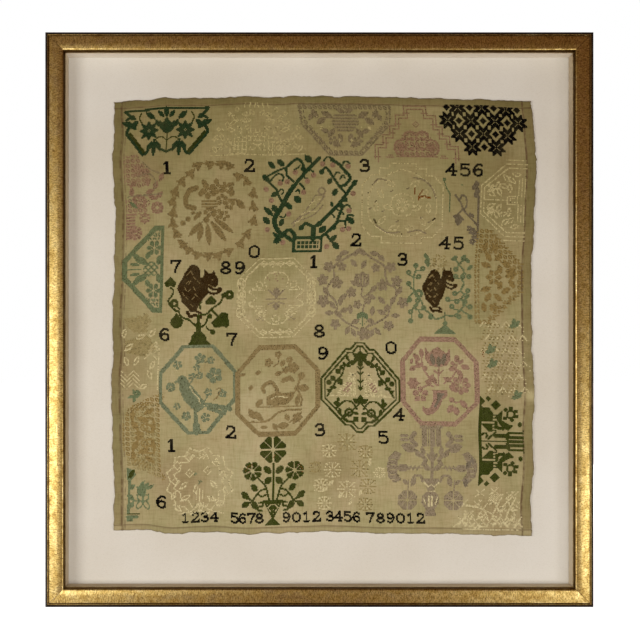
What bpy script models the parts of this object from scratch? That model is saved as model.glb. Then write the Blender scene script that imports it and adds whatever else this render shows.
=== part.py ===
# A stitched cloth sampler on a mount board, in a moulded picture frame that stands upright.
# Metres, +Z up. The face looks along -Y. The origin is on the ground, under the middle of the
# bottom rail and halfway through the frame's depth.
import math
from collections import namedtuple

import bmesh
import bpy

MM = 0.001
GAP = 0.3 * MM  # clearance between pieces that touch in the real object

# The frame
FRAME_WIDE = 432.0 * MM
FRAME_HIGH = 453.0 * MM
FRAME_DEEP = 30.0 * MM
FRONT_Y = -FRAME_DEEP / 2

# The moulding's section, measured inwards from its outer side and back from its foremost line
RAIL_WIDE = 15.6 * MM
REBATE_IN = 9.7 * MM  # the rebate's wall
LIP_BACK = 5.5 * MM  # the back of the lip
EDGE_RADIUS = 1.3 * MM  # rounded outer front edge
EDGE_BACK = 1.1 * MM
BEAD_IN = 2.25 * MM  # outer bead
BEAD_BACK = 1.25 * MM
BEAD_RADIUS = 0.8 * MM
GROOVE_IN = 3.3 * MM  # groove between the bead and the broad face
GROOVE_BACK = 1.7 * MM
FACE_IN = 3.6 * MM  # broad convex face
FACE_OUT = 12.7 * MM
FACE_CROWN = 1.35 * MM
ROLL_IN = 13.95 * MM  # inner roll
ROLL_BACK = 2.75 * MM
ROLL_RADIUS = 0.85 * MM
LIP_IN = 15.0 * MM
LIP_FRONT = 3.1 * MM
ARC_STEPS = 5
FACE_STEPS = 8

# What lies in the rebate, from front to back
SPACER_THICK = 5.0 * MM
BOARD_FRONT = 20.0 * MM  # depth of the mount board's face behind the frame's front
BOARD_THICK = 3.0 * MM
BACKING_THICK = 2.5 * MM
BOARD_EDGE = 0.4 * MM  # worn edges of the two boards

# The cloth, with its middle given from the frame's middle
CLOTH_WIDE = 336.6 * MM
CLOTH_HIGH = 349.0 * MM
CLOTH_RIGHT = 3.8 * MM
CLOTH_UP = 4.1 * MM
CLOTH_THICK = 1.2 * MM
HEM_THICK = 1.9 * MM
HEM_WIDE = 7.6 * MM
HEM_STEP = 1.2 * MM  # over this width the hem's edge falls to the cloth
CELLS_ACROSS = 30
CELLS_UP = 31

# How far each edge stands out from its straight line: place along it, from 0 to 1, and millimetres
Edge = namedtuple("Edge", "along out")
TOP_EDGE = [
    Edge(0.00, -3.2),
    Edge(0.06, -1.6),
    Edge(0.13, 0.2),
    Edge(0.22, 0.1),
    Edge(0.32, 1.5),
    Edge(0.38, 0.7),
    Edge(0.45, 1.7),
    Edge(0.58, 1.4),
    Edge(0.72, 0.2),
    Edge(0.86, -0.9),
    Edge(1.00, -2.4),
]
BOTTOM_EDGE = [
    Edge(0.00, -1.9),
    Edge(0.07, -2.2),
    Edge(0.14, 0.6),
    Edge(0.24, -0.6),
    Edge(0.31, 1.0),
    Edge(0.44, -0.2),
    Edge(0.52, -1.0),
    Edge(0.64, 0.6),
    Edge(0.78, 0.9),
    Edge(0.92, 2.0),
    Edge(1.00, 2.4),
]
LEFT_EDGE = [
    Edge(0.00, 0.1),
    Edge(0.10, -0.3),
    Edge(0.22, 1.1),
    Edge(0.34, 2.0),
    Edge(0.42, 0.3),
    Edge(0.48, 1.1),
    Edge(0.60, -0.4),
    Edge(0.73, -1.2),
    Edge(0.86, 1.1),
    Edge(0.93, -0.5),
    Edge(1.00, 0.2),
]
RIGHT_EDGE = [
    Edge(0.00, -0.9),
    Edge(0.06, -2.0),
    Edge(0.17, 0.4),
    Edge(0.24, -0.4),
    Edge(0.32, 1.2),
    Edge(0.45, -0.9),
    Edge(0.60, -1.5),
    Edge(0.72, 0.9),
    Edge(0.85, 2.9),
    Edge(0.94, 0.8),
    Edge(1.00, -1.4),
]

# Soft ripples of the cloth: waves across, waves up, phase in turns, height in millimetres
Ripple = namedtuple("Ripple", "across up turn high")
RIPPLES = [
    Ripple(1.0, 0.5, 0.10, 0.35),
    Ripple(0.5, 2.0, 0.40, 0.25),
    Ripple(3.0, 1.5, 0.75, 0.15),
]


def clear_scene():
    for thing in list(bpy.data.objects):
        bpy.data.objects.remove(thing)
    for spare in list(bpy.data.collections):
        bpy.data.collections.remove(spare)


def make_material(name, colour, roughness, metallic=0.0):
    finish = bpy.data.materials.new(name)
    finish.use_nodes = True
    shader = finish.node_tree.nodes["Principled BSDF"]
    shader.inputs["Base Color"].default_value = (*colour, 1.0)
    shader.inputs["Roughness"].default_value = roughness
    shader.inputs["Metallic"].default_value = metallic
    finish.diffuse_color = (*colour, 1.0)
    return finish


def place(mesh, name, material, group, location=(0, 0, 0), turn=0.0):
    piece = bpy.data.objects.new(name, mesh)
    piece.location = location
    piece.rotation_euler = (0, turn, 0)
    mesh.materials.clear()
    mesh.materials.append(material)
    group.objects.link(piece)
    return piece


def arc(inward, back, radius, first, last, steps=ARC_STEPS):
    # Points of an arc in the section, from one angle to another: 0 is inwards, 90 is to the front
    points = []
    for step in range(steps + 1):
        angle = math.radians(first + (last - first) * step / steps)
        points.append((inward + radius * math.cos(angle), back - radius * math.sin(angle)))
    return points


def moulding_section():
    outer = [(0, FRAME_DEEP)]
    outer += arc(EDGE_RADIUS, EDGE_BACK + EDGE_RADIUS, EDGE_RADIUS, 180, 90)
    bead = arc(BEAD_IN, BEAD_BACK, BEAD_RADIUS, 180, 0)
    groove = [(GROOVE_IN, GROOVE_BACK)]
    middle = (FACE_IN + FACE_OUT) / 2
    half = (FACE_OUT - FACE_IN) / 2
    face = []
    for step in range(FACE_STEPS + 1):
        share = 2 * step / FACE_STEPS - 1
        face.append((middle + half * share, FACE_CROWN * share * share))
    roll = arc(ROLL_IN, ROLL_BACK, ROLL_RADIUS, 165, 15)
    lip = [(LIP_IN, LIP_FRONT), (RAIL_WIDE, LIP_FRONT), (RAIL_WIDE, LIP_BACK)]
    rebate = [(REBATE_IN, LIP_BACK), (REBATE_IN, FRAME_DEEP)]
    return outer + bead + groove + face + roll + lip + rebate


def outline_to_mesh(points, thick, name):
    # A flat closed outline in X and Y, thickened along Z and turned into a closed mesh
    curve = bpy.data.curves.new(name, "CURVE")
    curve.dimensions = "2D"
    curve.fill_mode = "BOTH"
    curve.extrude = thick / 2
    line = curve.splines.new("POLY")
    line.points.add(len(points) - 1)
    for point, (x, y) in zip(line.points, points):
        point.co = (x, y, 0, 1)
    line.use_cyclic_u = True
    holder = bpy.data.objects.new(name, curve)
    bpy.context.scene.collection.objects.link(holder)
    evaluated = holder.evaluated_get(bpy.context.evaluated_depsgraph_get())
    mesh = bpy.data.meshes.new_from_object(evaluated)
    mesh.name = name
    bpy.data.objects.remove(holder)
    return mesh


def make_rail(name, length, location, turn, material, group):
    # Local X runs along the rail, Z inwards from its outer side, and Y back from the face
    mesh = outline_to_mesh(moulding_section(), length, name)
    shape = bmesh.new()
    shape.from_mesh(mesh)
    bmesh.ops.remove_doubles(shape, verts=shape.verts, dist=0.01 * MM)
    mitre_gap = GAP / 2 * math.sqrt(2)
    for vert in shape.verts:
        inward, back, along = vert.co
        end = math.copysign(length / 2 - inward - mitre_gap, -along)
        vert.co = (end, FRONT_Y + back, inward)
    bmesh.ops.recalc_face_normals(shape, faces=shape.faces)
    shape.to_mesh(mesh)
    shape.free()
    mesh.shade_smooth()
    mesh.set_sharp_from_angle(angle=math.radians(35))
    return place(mesh, name, material, group, location, turn)


def make_box(name, low, high, material, group, edge=0.0):
    size = [b - a for a, b in zip(low, high)]
    middle = [(a + b) / 2 for a, b in zip(low, high)]
    shape = bmesh.new()
    bmesh.ops.create_cube(shape, size=1)
    bmesh.ops.scale(shape, vec=size, verts=shape.verts)
    mesh = bpy.data.meshes.new(name)
    shape.to_mesh(mesh)
    shape.free()
    piece = place(mesh, name, material, group, middle)
    if edge:
        bevel = piece.modifiers.new("worn edges", "BEVEL")
        bevel.width = edge
        bevel.segments = 1
    return piece


def make_spacers(material, group):
    front = FRONT_Y + LIP_BACK + GAP
    back = FRONT_Y + BOARD_FRONT - GAP
    side = FRAME_WIDE / 2 - REBATE_IN - GAP
    low = REBATE_IN + GAP
    high = FRAME_HIGH - REBATE_IN - GAP
    inner_low = low + SPACER_THICK + GAP
    inner_high = high - SPACER_THICK - GAP
    make_box(
        "spacer_bottom", (-side, front, low), (side, back, low + SPACER_THICK), material, group
    )
    make_box(
        "spacer_top", (-side, front, high - SPACER_THICK), (side, back, high), material, group
    )
    make_box(
        "spacer_left",
        (-side, front, inner_low),
        (-side + SPACER_THICK, back, inner_high),
        material,
        group,
    )
    make_box(
        "spacer_right",
        (side - SPACER_THICK, front, inner_low),
        (side, back, inner_high),
        material,
        group,
    )


def make_board(name, depth, thick, material, group):
    side = FRAME_WIDE / 2 - REBATE_IN - GAP
    low = (-side, FRONT_Y + depth, REBATE_IN + GAP)
    high = (side, FRONT_Y + depth + thick, FRAME_HIGH - REBATE_IN - GAP)
    return make_box(name, low, high, material, group, BOARD_EDGE)


def edge_out(table, along):
    # The edge's distance from its straight line, eased from one row of the table to the next
    for here, after in zip(table, table[1:]):
        if along <= after.along:
            share = (along - here.along) / (after.along - here.along)
            share = share * share * (3 - 2 * share)
            return (here.out + (after.out - here.out) * share) * MM
    return table[-1].out * MM


def grid_lines(cells, size):
    # Shares along one side: two lines bound each hem's edge, and the rest are even
    hem = HEM_WIDE / size
    inner = (HEM_WIDE + HEM_STEP) / size
    inside = cells - 4
    lines = [0.0, hem]
    for step in range(inside + 1):
        lines.append(inner + (1 - 2 * inner) * step / inside)
    return lines + [1 - hem, 1.0]


def ripple(across, up):
    total = 0.0
    for wave in RIPPLES:
        turns = wave.across * across + wave.up * up + wave.turn
        total += wave.high * (1 + math.sin(2 * math.pi * turns)) / 2
    return total * MM


def make_cloth(material, group):
    # The back of the sheet is a grid, and Solidify adds the cloth's thickness towards the front
    columns = grid_lines(CELLS_ACROSS, CLOTH_WIDE)
    rows = grid_lines(CELLS_UP, CLOTH_HIGH)
    back_y = FRONT_Y + BOARD_FRONT - GAP
    shape = bmesh.new()
    bmesh.ops.create_grid(shape, x_segments=CELLS_ACROSS, y_segments=CELLS_UP, size=1)
    mesh = bpy.data.meshes.new("sampler_cloth")
    hem = []
    for vert in shape.verts:
        column = round((vert.co.x + 1) / 2 * CELLS_ACROSS)
        row = round((vert.co.y + 1) / 2 * CELLS_UP)
        across, up = columns[column], rows[row]
        left = -CLOTH_WIDE / 2 - edge_out(LEFT_EDGE, up)
        right = CLOTH_WIDE / 2 + edge_out(RIGHT_EDGE, up)
        bottom = -CLOTH_HIGH / 2 - edge_out(BOTTOM_EDGE, across)
        top = CLOTH_HIGH / 2 + edge_out(TOP_EDGE, across)
        x = CLOTH_RIGHT + left + (right - left) * across
        z = FRAME_HIGH / 2 + CLOTH_UP + bottom + (top - bottom) * up
        vert.co = (x, back_y - ripple(across, up), z)
        at_side = column in (0, 1, CELLS_ACROSS - 1, CELLS_ACROSS)
        at_end = row in (0, 1, CELLS_UP - 1, CELLS_UP)
        hem.append(1.0 if at_side or at_end else CLOTH_THICK / HEM_THICK)
    if sum(face.normal.y for face in shape.faces) > 0:
        bmesh.ops.reverse_faces(shape, faces=shape.faces)
    shape.to_mesh(mesh)
    shape.free()
    mesh.shade_smooth()
    cloth = place(mesh, "sampler_cloth", material, group)
    thickness = cloth.vertex_groups.new(name="thickness")
    for number, share in enumerate(hem):
        thickness.add([number], share, "REPLACE")
    solid = cloth.modifiers.new("cloth thickness", "SOLIDIFY")
    solid.thickness = HEM_THICK
    solid.offset = 1
    solid.vertex_group = thickness.name
    return cloth


def build():
    clear_scene()
    group = bpy.data.collections.new("framed_sampler")
    bpy.context.scene.collection.children.link(group)

    gilt = make_material("toned_gilt", (0.56, 0.40, 0.13), 0.38, 0.85)
    paper = make_material("spacer_paper", (0.55, 0.48, 0.37), 0.85)
    cream = make_material("cream_board", (0.67, 0.60, 0.49), 0.9)
    linen = make_material("aged_linen", (0.33, 0.26, 0.14), 0.95)
    card = make_material("grey_backing_card", (0.33, 0.28, 0.21), 0.85)

    half = FRAME_WIDE / 2
    middle = FRAME_HIGH / 2
    quarter = math.pi / 2
    make_rail("rail_bottom", FRAME_WIDE, (0, 0, 0), 0, gilt, group)
    make_rail("rail_top", FRAME_WIDE, (0, 0, FRAME_HIGH), 2 * quarter, gilt, group)
    make_rail("rail_left", FRAME_HIGH, (-half, 0, middle), quarter, gilt, group)
    make_rail("rail_right", FRAME_HIGH, (half, 0, middle), -quarter, gilt, group)
    make_spacers(paper, group)
    make_board("mount_board", BOARD_FRONT, BOARD_THICK, cream, group)
    make_cloth(linen, group)
    make_board("back_board", BOARD_FRONT + BOARD_THICK + GAP, BACKING_THICK, card, group)


build()
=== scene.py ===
import math

import bpy
import numpy as np
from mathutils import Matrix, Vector, noise


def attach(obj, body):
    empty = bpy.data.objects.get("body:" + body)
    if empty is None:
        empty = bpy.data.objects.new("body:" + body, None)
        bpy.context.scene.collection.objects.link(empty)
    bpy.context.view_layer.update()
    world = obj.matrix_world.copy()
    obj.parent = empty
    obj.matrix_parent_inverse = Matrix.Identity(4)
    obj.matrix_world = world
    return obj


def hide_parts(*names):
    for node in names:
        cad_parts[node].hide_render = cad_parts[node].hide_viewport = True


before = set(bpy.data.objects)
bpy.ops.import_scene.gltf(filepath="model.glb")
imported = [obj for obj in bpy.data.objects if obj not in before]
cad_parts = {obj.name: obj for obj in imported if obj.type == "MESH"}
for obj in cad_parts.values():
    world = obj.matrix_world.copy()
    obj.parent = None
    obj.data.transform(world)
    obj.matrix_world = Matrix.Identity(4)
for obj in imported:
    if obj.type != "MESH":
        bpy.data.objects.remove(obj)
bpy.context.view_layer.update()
mm = 0.001
chance = np.random.default_rng(41)

# small tools


def linear(code):  # sRGB hex to linear RGBA
    parts = [int(code[i : i + 2], 16) / 255 for i in (1, 3, 5)]
    return [p / 12.92 if p <= 0.04045 else ((p + 0.055) / 1.055) ** 2.4 for p in parts] + [1.0]


def addNode(tree, kind, settings=None, links=None):
    node = tree.nodes.new("ShaderNode" + kind)
    for name, value in (settings or {}).items():
        if isinstance(name, str) and name.islower():
            setattr(node, name, value)
        else:
            node.inputs[name].default_value = value
    for name, source in (links or {}).items():
        tree.links.new(source, node.inputs[name])
    return node


def newFinish(name, colour, roughness, **constants):
    finish = bpy.data.materials.new(name)
    finish.use_nodes = True
    shader = finish.node_tree.nodes["Principled BSDF"]
    shader.inputs["Base Color"].default_value = linear(colour)
    shader.inputs["Roughness"].default_value = roughness
    for socket, value in constants.items():
        shader.inputs[socket].default_value = value
    return finish, finish.node_tree, shader


def ramp(tree, source, stops):  # stops are place and hex colour
    node = addNode(tree, "ValToRGB", links={"Fac": source})
    bar = node.color_ramp
    while len(bar.elements) < len(stops):
        bar.elements.new(0.5)
    for element, (place, code) in zip(bar.elements, stops):
        element.position = place
        element.color = linear(code)
    return node.outputs["Color"]


def mixColours(tree, blend, factor, low, high):
    node = addNode(tree, "Mix", {"data_type": "RGBA", "blend_type": blend})
    for slot, value in ((0, factor), (6, low), (7, high)):
        if isinstance(value, (float, int)):
            node.inputs[slot].default_value = value
        elif isinstance(value, str):
            node.inputs[slot].default_value = linear(value)
        else:
            tree.links.new(value, node.inputs[slot])
    return node.outputs[2]


def stretched(tree, scale, place=None):  # texture coordinates, so many per metre along x, y and z
    place = place or addNode(tree, "TexCoord").outputs["Object"]
    return addNode(tree, "Mapping", {"Scale": scale}, {"Vector": place}).outputs["Vector"]


def grain(tree, scale, detail=3.0, rough=0.5, warp=0.0, place=None):
    settings = {"Scale": 1.0, "Detail": detail, "Roughness": rough, "Distortion": warp}
    return addNode(tree, "TexNoise", settings, {"Vector": stretched(tree, scale, place)}).outputs["Fac"]


def bumped(tree, shader, height, far, strength):
    node = addNode(tree, "Bump", {"Strength": strength, "Distance": far}, {"Height": height})
    tree.links.new(node.outputs["Normal"], shader.inputs["Normal"])


def newPiece(name, verts, faces, finishes, smooth=True):
    mesh = bpy.data.meshes.new(name)
    mesh.from_pydata([tuple(v) for v in verts], [], faces)
    for finish in finishes:
        mesh.materials.append(finish)
    if smooth:
        mesh.shade_smooth()
    piece = bpy.data.objects.new(name, mesh)
    bpy.context.scene.collection.objects.link(piece)
    return piece


def setValues(piece, name, values):  # one number, or three, for each vertex
    values = np.array(values, float)
    kind, field = ("FLOAT", "value") if values.ndim == 1 else ("FLOAT_VECTOR", "vector")
    piece.data.attributes.new(name, kind, "POINT").data.foreach_set(field, values.ravel())


def valueOf(tree, name, output="Fac"):  # what setValues wrote, for a finish to read
    return addNode(tree, "Attribute", {"attribute_name": name}).outputs[output]


# camera, light and floor

studio = {
    "eye": (-0.0288, -0.875, 0.1867),
    "lens": 61.54,
    "shift": (0.0581, 0.0784),
    "key": {"place": (-0.58, -0.75, 0.11), "aim": (-0.05, 0, 0.20), "size": (0.40, 0.40), "watts": 4.2},
    "fill": {"place": (0.54, -0.75, -0.05), "aim": (0.05, 0, 0.20), "size": (0.26, 0.20), "watts": 1.5},
    "front": {"place": (0.07, -0.85, 0.12), "aim": (0, 0, 0.22), "size": (0.50, 0.44), "watts": 5.2},
    "back": {"place": (0.5, 1.3, 0.35), "aim": (0, 0, 0.2), "size": (0.9, 0.5), "watts": 14.0},
    "room": 0.13,  # how much light the room itself gives, a little warm
    "roomColour": "#ffb274",
    "floorGlow": 1.0,
    "floorSide": 30.0,
}


def buildStudio():
    scene = bpy.context.scene
    scene.view_settings.view_transform = "Standard"
    eye = bpy.data.objects.new("camera", bpy.data.cameras.new("camera"))
    eye.location = studio["eye"]
    eye.rotation_euler = (math.pi / 2, 0, 0)
    eye.data.lens = studio["lens"]
    eye.data.shift_x, eye.data.shift_y = studio["shift"]
    scene.collection.objects.link(eye)
    scene.camera = eye
    for name in ("key", "fill", "front", "back"):
        values = studio[name]
        lamp = bpy.data.lights.new(name + " panel", "AREA")
        lamp.shape = "RECTANGLE"
        lamp.size, lamp.size_y = values["size"]
        lamp.energy = values["watts"]
        lamp.color = (1.0, 0.995, 0.985)
        holder = bpy.data.objects.new(name + " panel", lamp)
        holder.location = values["place"]
        aim = Vector(values["aim"]) - holder.location
        holder.rotation_euler = aim.to_track_quat("-Z", "Y").to_euler()
        holder.visible_camera = False
        holder.visible_glossy = name != "front"  # a soft panel that the gold doesn't mirror
        scene.collection.objects.link(holder)
    world = bpy.data.worlds.new("white room")
    world.use_nodes = True
    tree = world.node_tree
    seen = addNode(tree, "LightPath").outputs["Is Camera Ray"]
    span = {"To Min": studio["room"], "To Max": 1.0}
    strength = addNode(tree, "MapRange", span, {"Value": seen}).outputs["Result"]
    backdrop = tree.nodes["Background"]
    tint = mixColours(tree, "MIX", seen, studio["roomColour"], "#ffffff")
    tree.links.new(tint, backdrop.inputs["Color"])
    tree.links.new(strength, backdrop.inputs["Strength"])
    scene.world = world
    side = studio["floorSide"] / 2
    corners = [(-side, -side, 0), (side, -side, 0), (side, side, 0), (-side, side, 0)]
    paint, tree, shader = newFinish("matt white floor paint", "#f7f6f3", 0.9)
    shader.inputs["Emission Color"].default_value = (1, 1, 1, 1)
    shader.inputs["Emission Strength"].default_value = studio["floorGlow"]
    floor = newPiece("floor", corners, [(0, 1, 2, 3)], [paint], smooth=False)
    floor.visible_glossy = False
    floor.visible_diffuse = False
    floor.visible_shadow = False
    print("studio: camera, four soft panels and a white floor")


# the moulding, in millimetres inwards from its outer side and back from its front

moulding = {
    "wide": 432.0,
    "high": 453.0,
    "deep": 30.0,
    "edge": (1.3, 2.4, 1.3),  # centre inwards, centre back and radius
    "bead": (2.25, 1.25, 0.8),
    "groove": (3.3, 1.2),
    "face": (3.6, 13.7, 0.05, 0.36),  # from, to, how hollow it is, and how far its inner side falls back
    "turn": (13.75, 2.1, 1.15),  # centre inwards, centre back and radius
    "lip": (15.0, 15.6, 3.1, 5.5),  # from, to, its front and its back
    "rebate": 9.7,
    "mitreGap": 0.02,
    "stations": 130,
    "waver": 0.012,  # how far the gesso's surface wanders
    "lacquered": 1.9,  # the black outer side ends here
    "toned": (0.85, 0.62, 0.8),  # how much the grooves, the bead and the mitres are toned; the grooves' amount is also painted shade on the inner turn and lip
    "gold": "#c9a24c",
    "toningAndShade": "#4f3414",
    "lacquer": "#15110e",
    "bareWood": "#b08d5f",
}


def arcPoints(centreIn, centreBack, radius, first, last, steps):
    turns = [math.radians(first + (last - first) * i / steps) for i in range(steps + 1)]
    return [(centreIn + radius * math.cos(a), centreBack - radius * math.sin(a)) for a in turns]


def sectionPoints():
    deep = moulding["deep"]
    points = [(0, deep), (0, deep - 0.6), (0, 20), (0, 10), (0, 4)]
    points += arcPoints(*moulding["edge"], 180, 90, 6)
    points += arcPoints(*moulding["bead"], 180, 0, 8)
    points += [moulding["groove"]]
    low, high, hollow, fall = moulding["face"]
    for i in range(19):
        share = i / 9 - 1
        back = 0.35 + hollow * share * share + fall * (max(0, share - 0.15) / 0.85) ** 1.6
        points.append(((low + high) / 2 + (high - low) / 2 * share, back))
    turn, back, radius = moulding["turn"]
    points += arcPoints(turn, back, radius, 80, 0, 5)
    lipIn, lipOut, lipFront, lipBack = moulding["lip"]
    points += [(lipIn, lipFront), (lipIn + 0.1, lipFront - 0.05), (lipOut - 0.1, lipFront - 0.05)]
    points += [(lipOut, lipFront + 0.05), (lipOut, lipBack)]
    rebate = moulding["rebate"]
    return points + [(rebate, lipBack), (rebate, lipBack + 0.5), (rebate, deep - 0.6), (rebate, deep)]


def gildedGesso():
    # metal leaf on gesso: bright where it is rubbed, brown where it is toned in the hollows, and brown as
    # painted shade on the inner turn and lip
    finish, tree, shader = newFinish("gilded gesso", moulding["gold"], 0.30, Metallic=1.0)
    run = valueOf(tree, "run", "Vector")
    cloudy = grain(tree, (110, 160, 160), 4, 0.6, 0.3, run)
    brush = grain(tree, (1300, 330, 330), 3, 0.65, 0.2, run)
    specks = grain(tree, (1400, 1000, 1400), 2, 0.5, 0, run)
    stops = [(0.26, "#c4a55f"), (0.40, "#dabf74"), (0.52, "#e9d28a"), (0.68, "#f2e0a0")]
    leaf = ramp(tree, cloudy, stops)
    streaks = ramp(tree, brush, [(0.36, "#6d5226"), (0.47, "#e6d8ba"), (0.56, "#ffffff")])
    leaf = mixColours(tree, "MULTIPLY", 0.6, leaf, streaks)
    pitted = ramp(tree, specks, [(0.38, "#a98b54"), (0.56, "#ffffff")])
    leaf = mixColours(tree, "MULTIPLY", 0.6, leaf, pitted)
    dark = addNode(tree, "MapRange", {"From Min": 0.31, "From Max": 0.27, "To Max": 0.6}, {"Value": specks})
    leaf = mixColours(tree, "MIX", dark.outputs["Result"], leaf, moulding["toningAndShade"])
    # the hollow mask: the real toned hollows, bead and mitres, and painted shade on the inner turn and lip
    leaf = mixColours(tree, "MIX", valueOf(tree, "hollow"), leaf, moulding["toningAndShade"])
    tree.links.new(leaf, shader.inputs["Base Color"])
    span = {"From Min": 0.35, "From Max": 0.65, "To Min": 0.45, "To Max": 0.33}
    rough = addNode(tree, "MapRange", span, {"Value": cloudy}).outputs["Result"]
    tree.links.new(rough, shader.inputs["Roughness"])
    height = addNode(tree, "Math", {"operation": "ADD"}, {0: brush, 1: specks}).outputs[0]
    bumped(tree, shader, height, 0.00008, 0.3)
    return finish


def blackLacquer():
    finish, tree, shader = newFinish("rubbed black lacquer", moulding["lacquer"], 0.42)
    worn = grain(tree, (160, 160, 60), 4, 0.6)
    colour = ramp(tree, worn, [(0.45, "#100d0b"), (0.66, "#2b221a"), (0.74, "#5b4124")])
    tree.links.new(colour, shader.inputs["Base Color"])
    bumped(tree, shader, worn, 0.0001, 0.3)
    return finish


def bareWood():
    # planed softwood, so the grain runs the length of each rail: rings about 2 mm apart
    finish, tree, shader = newFinish("planed bare pine", moulding["bareWood"], 0.72)
    run = valueOf(tree, "run", "Vector")
    rings = grain(tree, (9, 480, 480), 4, 0.55, 0.6, run)
    colour = ramp(tree, rings, [(0.30, "#8a6238"), (0.50, "#b48d5c"), (0.72, "#cbaa7c")])
    tree.links.new(colour, shader.inputs["Base Color"])
    bumped(tree, shader, rings, 0.00015, 0.5)
    return finish


def buildRails():
    gilt, black, wood = gildedGesso(), blackLacquer(), bareWood()
    points = sectionPoints()
    wide, high = moulding["wide"], moulding["high"]
    count = moulding["stations"]
    gap = moulding["mitreGap"]
    grooveToningAndTurnShade, beadTone, mitreTone = moulding["toned"]
    hollows = (moulding["bead"][0] + moulding["bead"][2], moulding["groove"][0] + 0.3)
    shares = np.concatenate([[0], np.linspace(0.001, 0.999, count - 1), [1]])
    for number, (name, length, side) in enumerate(
        (("top", wide, "z1"), ("bottom", wide, "z0"), ("left", high, "x0"), ("right", high, "x1"))
    ):
        verts, run, hollow = [], [], []
        for i in range(count + 1):
            for inward, back in points:
                reach = length / 2 - inward - gap
                along = -reach + 2 * reach * shares[i]
                onFace = 3.7 < inward < 14.9 and back < 4
                spot = Vector((along * 0.09 + number * 31, inward * 0.25, 0.5))
                lift = moulding["waver"] * noise.noise(spot) if onFace and 0 < i < count else 0
                if side[0] == "z":
                    x, z = along, (high - inward if side == "z1" else inward)
                else:
                    x, z = (inward - wide / 2 if side == "x0" else wide / 2 - inward), high / 2 + along
                verts.append((x * mm, (back - lift - moulding["deep"] / 2) * mm, z * mm))
                run.append(((along + number * 517) * mm, inward * mm, back * mm))
                # painted shade: past 14 mm in, the inner turn and the lip are darkened like the grooves,
                # where they roll away from the light
                inGrooveOrShadedTurn = hollows[0] <= inward <= hollows[1] or inward > 14.0
                deepIn = grooveToningAndTurnShade if inGrooveOrShadedTurn else (beadTone if inward < 3.1 else 0.0)
                atMitre = mitreTone if i in (0, count) else 0.0
                hollow.append(max(deepIn, atMitre) if back < 5 else 0.0)
        size = len(points)
        faces, kinds = [], []
        for i in range(count):
            for j in range(size):
                k = (j + 1) % size
                a, b = i * size, (i + 1) * size
                faces.append((a + j, a + k, b + k, b + j))
                inward, back = (points[j][0] + points[k][0]) / 2, (points[j][1] + points[k][1]) / 2
                isBack = back > moulding["lip"][3] - 0.01 and inward > 0.01
                kinds.append(2 if isBack else (1 if inward < moulding["lacquered"] else 0))
        faces += [tuple(range(size)), tuple(count * size + j for j in reversed(range(size)))]
        kinds += [2, 2]
        if side in ("z1", "x0"):
            faces = [tuple(reversed(f)) for f in faces]
        rail = newPiece("gilt_rail_" + name, verts, faces, [gilt, black, wood])
        rail.data.polygons.foreach_set("material_index", kinds)
        rail.data.set_sharp_from_angle(angle=math.radians(40))
        setValues(rail, "run", run)
        setValues(rail, "hollow", hollow)
        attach(rail, "root")
        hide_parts("rail_" + name)
    print("moulding: four mitred rails")


# the boards and the spacers between the lip and the mount

boards = {
    "mount": ("#c8c4ba", "#bfb9ac"),  # fresh and yellowed
    "spacer": ("#cdc0a6", "#ab9878"),
    "paintedLitTopSpacer": ("#e9e1d2", "#ddd4c2"),  # painted light: the top strip is made the palest, for the light from below that it faces
    "backing": ("#8f816c", "#776a56"),
    "fibres": (900, 900, 1700),  # a metre, along x, y and z
    "pulp": (420, 420, 420),
}


def paperBoard(name, colours, fibres, depth):
    # matt surface paper: fibres about 0.6 mm long, and slow yellowing
    light, toned = colours
    finish, tree, shader = newFinish(name, light, 0.88)
    slow = grain(tree, (9, 9, 9), 3, 0.5)
    fine = grain(tree, fibres, 4, 0.7)
    colour = ramp(tree, slow, [(0.30, toned), (0.68, light)])
    flecks = ramp(tree, fine, [(0.25, "#d9d3c6"), (0.5, "#ffffff")])
    colour = mixColours(tree, "MULTIPLY", 0.35, colour, flecks)
    tree.links.new(colour, shader.inputs["Base Color"])
    bumped(tree, shader, fine, depth, 0.35)
    return finish


def dressBoards():
    mount = paperBoard("cream mount paper", boards["mount"], boards["fibres"], 0.00006)
    spacer = paperBoard("buff lining paper", boards["spacer"], boards["fibres"], 0.00006)
    # painted light: the top spacer gets a paler paper of its own, standing in for the light from below on its
    # down-facing side
    paintedLitTopSpacer = paperBoard("lining paper painted paler for light from below", boards["paintedLitTopSpacer"], boards["fibres"], 0.00006)
    backing = paperBoard("grey pulp card", boards["backing"], boards["pulp"], 0.0002)
    finishes = {"mount_board": mount, "back_board": backing, "spacer_top": paintedLitTopSpacer}
    for name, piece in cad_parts.items():
        finish = finishes.get(name) or (spacer if name.startswith("spacer") else None)
        if finish:
            piece.data.materials.clear()
            piece.data.materials.append(finish)
    print("boards: mount, spacers and backing card")


# the cloth, in millimetres; the edges say how far each side stands out along its length, 0 to 1

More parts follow.
